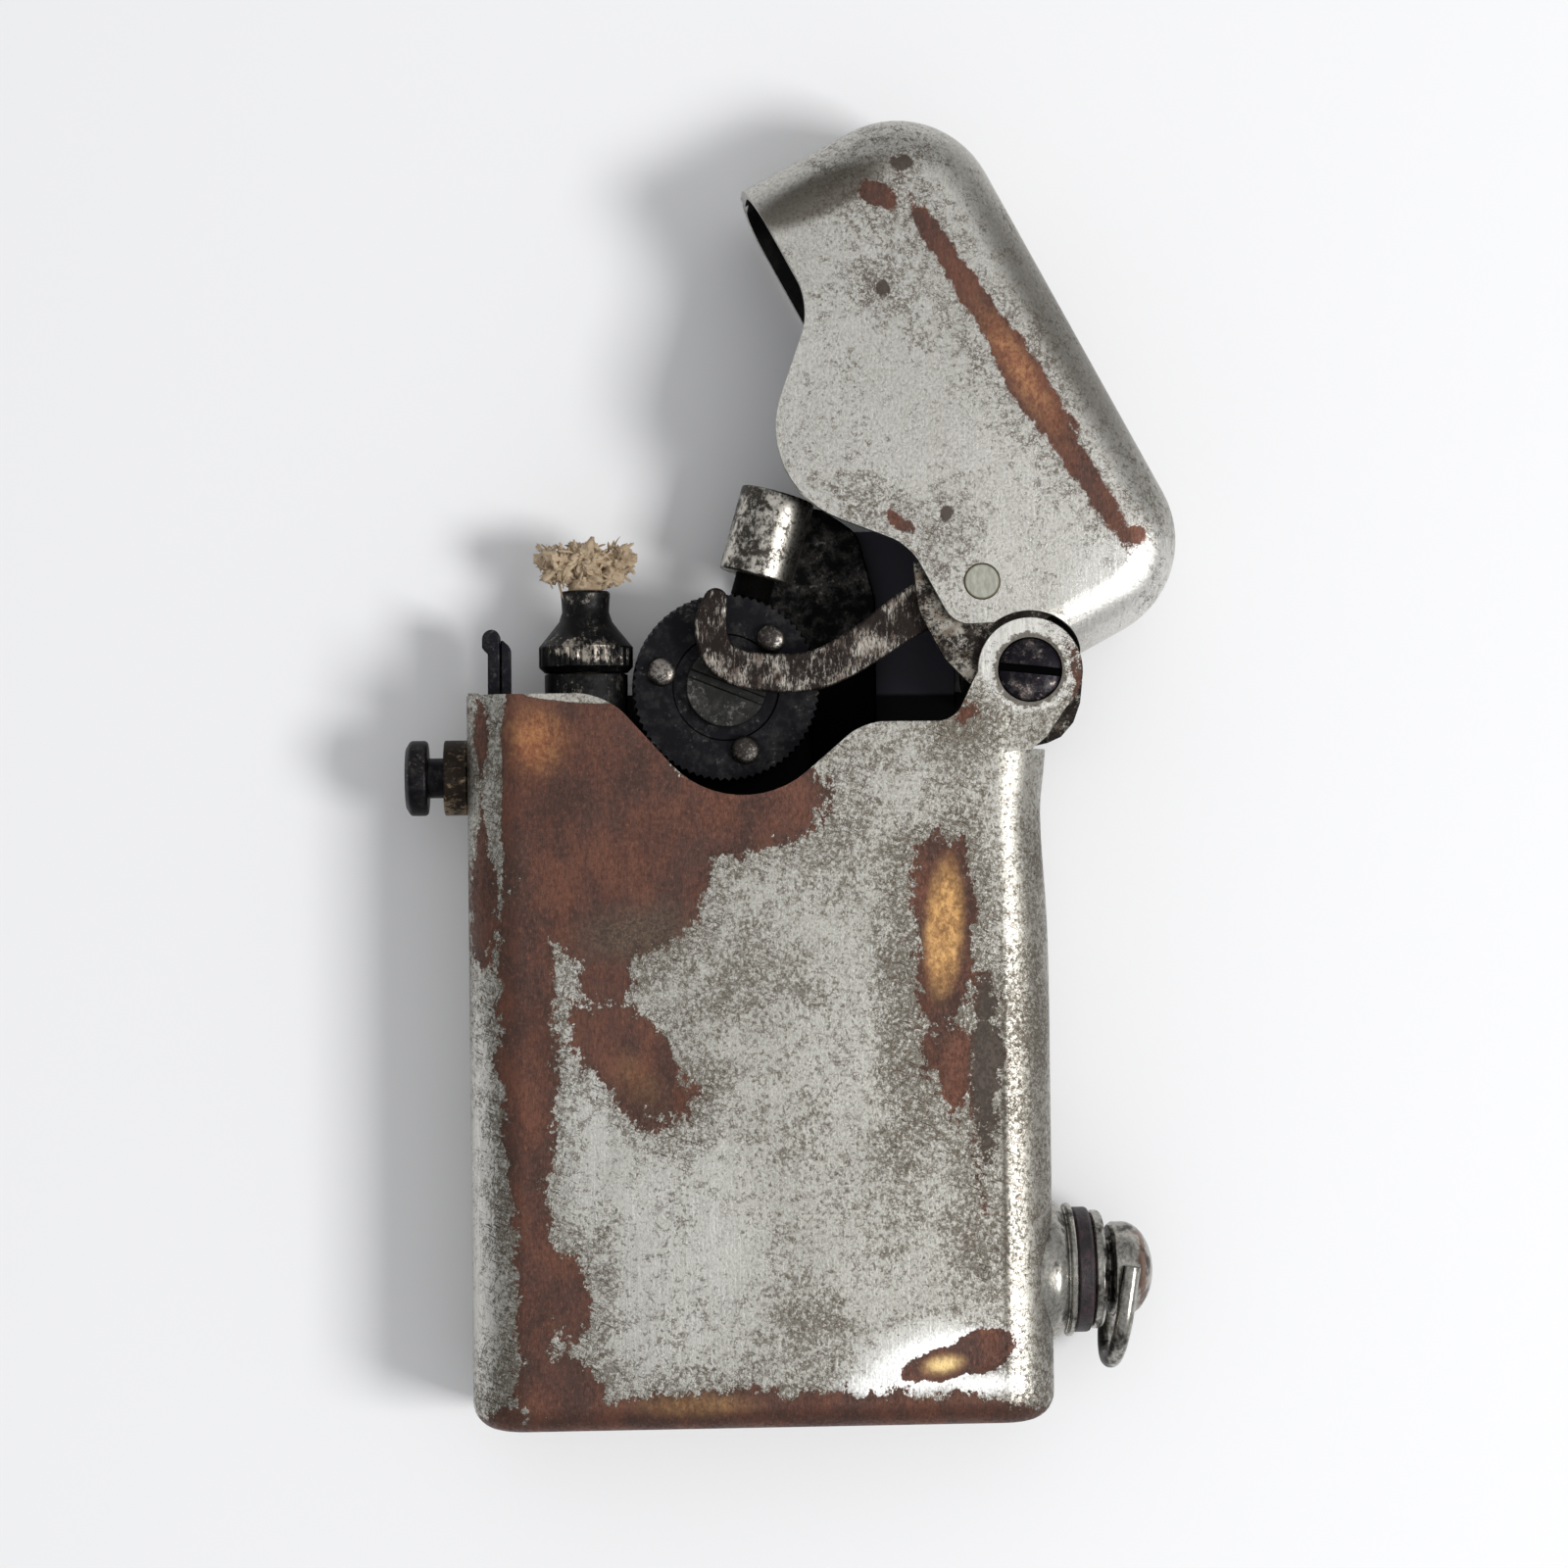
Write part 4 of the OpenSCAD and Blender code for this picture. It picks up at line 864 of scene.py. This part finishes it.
bmesh.ops.recalc_face_normals(wheel, faces=wheel.faces[:])
settle(wheel, "file_cut_wheel", "wheel", wheel_metal, "dark_steel", "spark_wheel", angle=20.0)

pin_metal = tarnished(
    "rubbed_pins", (0.05, 0.044, 0.04), (0.36, 0.34, 0.31), 0.62, (0.22, 0.22, 0.22), rough=0.34, depth=0.012,
    warm=(0.2, 0.16, 0.135))
refine("wheel_pins", "drive_pins", "wheel", pin_metal, "worn_steel", angle=50.0)
screw_metal = tarnished(
    "grey_screw", (0.028, 0.028, 0.027), (0.15, 0.145, 0.132), 0.36, (0.3, 0.3, 0.3), rough=0.42, dusty=0.45)
refine("wheel_screw", "axle_screw", "case", screw_metal, "dark_steel", soft=0.07)

# The flint sits in a tube rolled from strip steel and aimed at the wheel's axle.
# The tube stands on a dark arm from the back plate, and a spring and a plug press the flint down.
strip_metal = tarnished(
    "rolled_strip", (0.06, 0.053, 0.045), (0.56, 0.53, 0.47), 0.62, (0.34, 0.4, 0.34), rough=0.3, depth=0.008)
refine("flint_tube", "rolled_tube", "case", strip_metal, "worn_steel", soft=0.12, angle=45.0)
# Below the case's edge the arm is painted black, as the shade inside the case.
arm_metal = tarnished(
    "dark_arm", (0.008, 0.0078, 0.0078), (0.16, 0.145, 0.13), 0.2, dusty=0.8, clear=(24.0, 28.5))
refine("flint_arm", "flint_carrier", "case", arm_metal, "dark_steel", soft=0.12)
dress(
    tarnished("flint_alloy", (0.006, 0.0055, 0.005), (0.02, 0.017, 0.015), 0.2, rough=0.7, dusty=0.05),
    "flint")
spring_metal = tarnished("spring_wire", (0.03, 0.03, 0.03), (0.3, 0.29, 0.28), 0.5)
dress(spring_metal, "claw_spring", "hinge_spring")
flint_coil = refine("flint_spring", "flint_coil", "case", spring_metal, "spring_steel", angle=60.0)
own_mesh(flint_coil)

# The claw is a hooked steel arm, riveted in the lid so that it can swing.
# As the lid flies open its hook pulls a pin of the wheel round. It is rubbed silver-brown, in streaks.
claw_metal = tarnished(
    "streaked_claw", (0.026, 0.02, 0.018), (0.52, 0.48, 0.42), 0.48, (0.12, 0.5, 0.4), rough=0.38,
    warm=(0.17, 0.125, 0.1))
refine("claw", "hooked_claw", "claw", claw_metal, "worn_steel", soft=0.22, angle=40.0)
rivet_plate = Recipe("flush_rivet")
rivet_at = HINGE + RIVET
rivet_rim = rivet_plate.patch(rivet_at.x, rivet_at.y, 1.1, 1.1).between(0.02, 0.16)
rivet_face = rivet_plate.mix(
    rivet_plate.noise((0.3, 0.8, 0.3), 4.0, 0.7).between(0.35, 0.7), (0.36, 0.36, 0.3), (0.52, 0.515, 0.45))
rivet_colour = rivet_plate.mix(rivet_rim, (0.1, 0.085, 0.05), rivet_face)
rivet_metal = rivet_plate.finish(rivet_colour, 0.36, 1.0, rivet_plate.noise((0.5, 0.5, 0.5)), 0.01)
refine("claw_rivet", "lid_rivet", "lid", rivet_metal, "nickel_plate", soft=0.05)

# The hinge bracket is a dark steel drum with a leaf riveted inside the lid and a heel that stops it.
# A black domed screw goes through the case's ears and the drum, with a spring wound round it.
bracket_metal = tarnished(
    "brown_black_bracket", (0.022, 0.018, 0.016), (0.42, 0.395, 0.345), 0.4, (0.2, 0.2, 0.2),
    warm=(0.17, 0.13, 0.095), dusty=0.4, spot=(11.0, 25.8, 1.7, 4.4, 28), boost=0.1)
refine("hinge_bracket", "hinge_drum", "lid", bracket_metal, "dark_steel", soft=0.25)
# Below the crown of its head the screw is painted black, as the shade in its slot and in the ear's recess.
hinge_metal = tarnished(
    "black_screw", (0.014, 0.012, 0.016), (0.34, 0.27, 0.25), 0.3, (0.5, 0.4, 0.5), rough=0.3, depth=0.02,
    dusty=0.75, clear=(10.77, 10.9), along="Z")
refine("hinge_screw", "domed_screw", "case", hinge_metal, "dark_steel", soft=0.07)
dress(tank_metal, "bracket_rivets", "snuffer_cap", "snuffer_post", "lid_catch")

# The button and its bush stand out of the left side. The button's stem pushes the latch,
# a hooked steel lever with a leaf spring beside it, and both are blackened.
button_metal = tarnished(
    "black_button", (0.012, 0.011, 0.013), (0.2, 0.18, 0.16), 0.16, rough=0.3, dusty=0.35)
refine("push_button", "button", "button", button_metal, "dark_steel", soft=0.05)
bush_metal = tarnished(
    "bronze_bush", (0.03, 0.023, 0.018), (0.27, 0.2, 0.13), 0.55, (0.5, 0.3, 0.5), dusty=0.4)
refine("button_bush", "bush", "case", bush_metal, "blackened_brass", soft=0.12)
latch_metal = tarnished("black_latch", (0.016, 0.016, 0.02), (0.1, 0.095, 0.095), 0.28, rough=0.3, dusty=0.4)
refine("latch_hook", "latch", "latch", latch_metal, "dark_steel", soft=0.1)
refine("latch_spring", "latch_leaf", "latch", latch_metal, "spring_steel", soft=0.08)

# The filler is a threaded boss in the right side. Its screw seals on a leather washer,
# and has a domed head with a folding wire loop to turn it by.
NOWHERE = (30.0, 31.0)
GRIME_AND_SHADE = (0.014, 0.012, 0.0115)


def grimy_shaded_nickel(name, black, copper):
    """Dull nickel with grimy spots. Between the two distances of black it is painted black as shade, and
    between those of copper it is worn to copper, each from the case's middle.
    """
    metal = Recipe(name)
    x = metal.axis("X") + (metal.noise((1.2, 1.2, 1.2), 4.0, 0.65) - 0.5) * 2.0
    grime_and_shade = (x.between(black[0], black[0] + 0.5) - x.between(black[1], black[1] + 0.6)).highest(
        metal.noise((0.9, 1.6, 0.9), 5.0, 0.7).between(0.46, 0.66) * 0.85)
    stripe = x.between(copper[0], copper[0] + 0.2) - x.between(copper[1], copper[1] + 0.2)
    clouds = metal.noise((0.2, 0.3, 0.2), 5.0, 0.75).between(0.35, 0.65)
    grey = metal.mix(clouds, (0.26, 0.25, 0.22), (0.46, 0.44, 0.4))
    grey = metal.mix(stripe * 0.85, grey, (0.17, 0.095, 0.068))
    colour = metal.mix(grime_and_shade, grey, GRIME_AND_SHADE)
    rough = 0.24 + grime_and_shade * 0.22
    height = metal.noise((0.4, 0.4, 0.4), 3.0) - grime_and_shade * 0.3
    return metal.finish(colour, rough, 1.0, height, 0.012)


neck_metal = grimy_shaded_nickel("grimy_neck", black=NOWHERE, copper=NOWHERE)
refine("filler_boss", "filler_neck", "case", neck_metal, "nickel_plate", soft=0.12)
# The cap and the loop are painted black as shade where they come close to the case's side.
cap_metal = grimy_shaded_nickel("grimy_shaded_cap", black=(20.9, 21.5), copper=(23.3, 23.9))
refine("filler_screw", "filler_cap", "filler", cap_metal, "nickel_plate", soft=0.08)
loop_metal = grimy_shaded_nickel("grimy_shaded_loop", black=(19.0, 21.3), copper=NOWHERE)
refine("filler_bail", "cap_loop", "bail", loop_metal, "nickel_plate", angle=60.0)
leather = Recipe("washer_leather")
hide = leather.noise((0.5, 0.9, 0.5), 4.0, 0.65).between(0.4, 0.72)
leather_colour = leather.mix(hide, (0.006, 0.0035, 0.0045), (0.045, 0.019, 0.025))
leather_finish = leather.finish(
    leather_colour, 0.5, 0.0, leather.noise((0.25, 0.25, 0.25), 4.0, 0.7), 0.06)
refine("filler_gasket", "leather_washer", "gasket", leather_finish, "gasket_leather", soft=0.2)
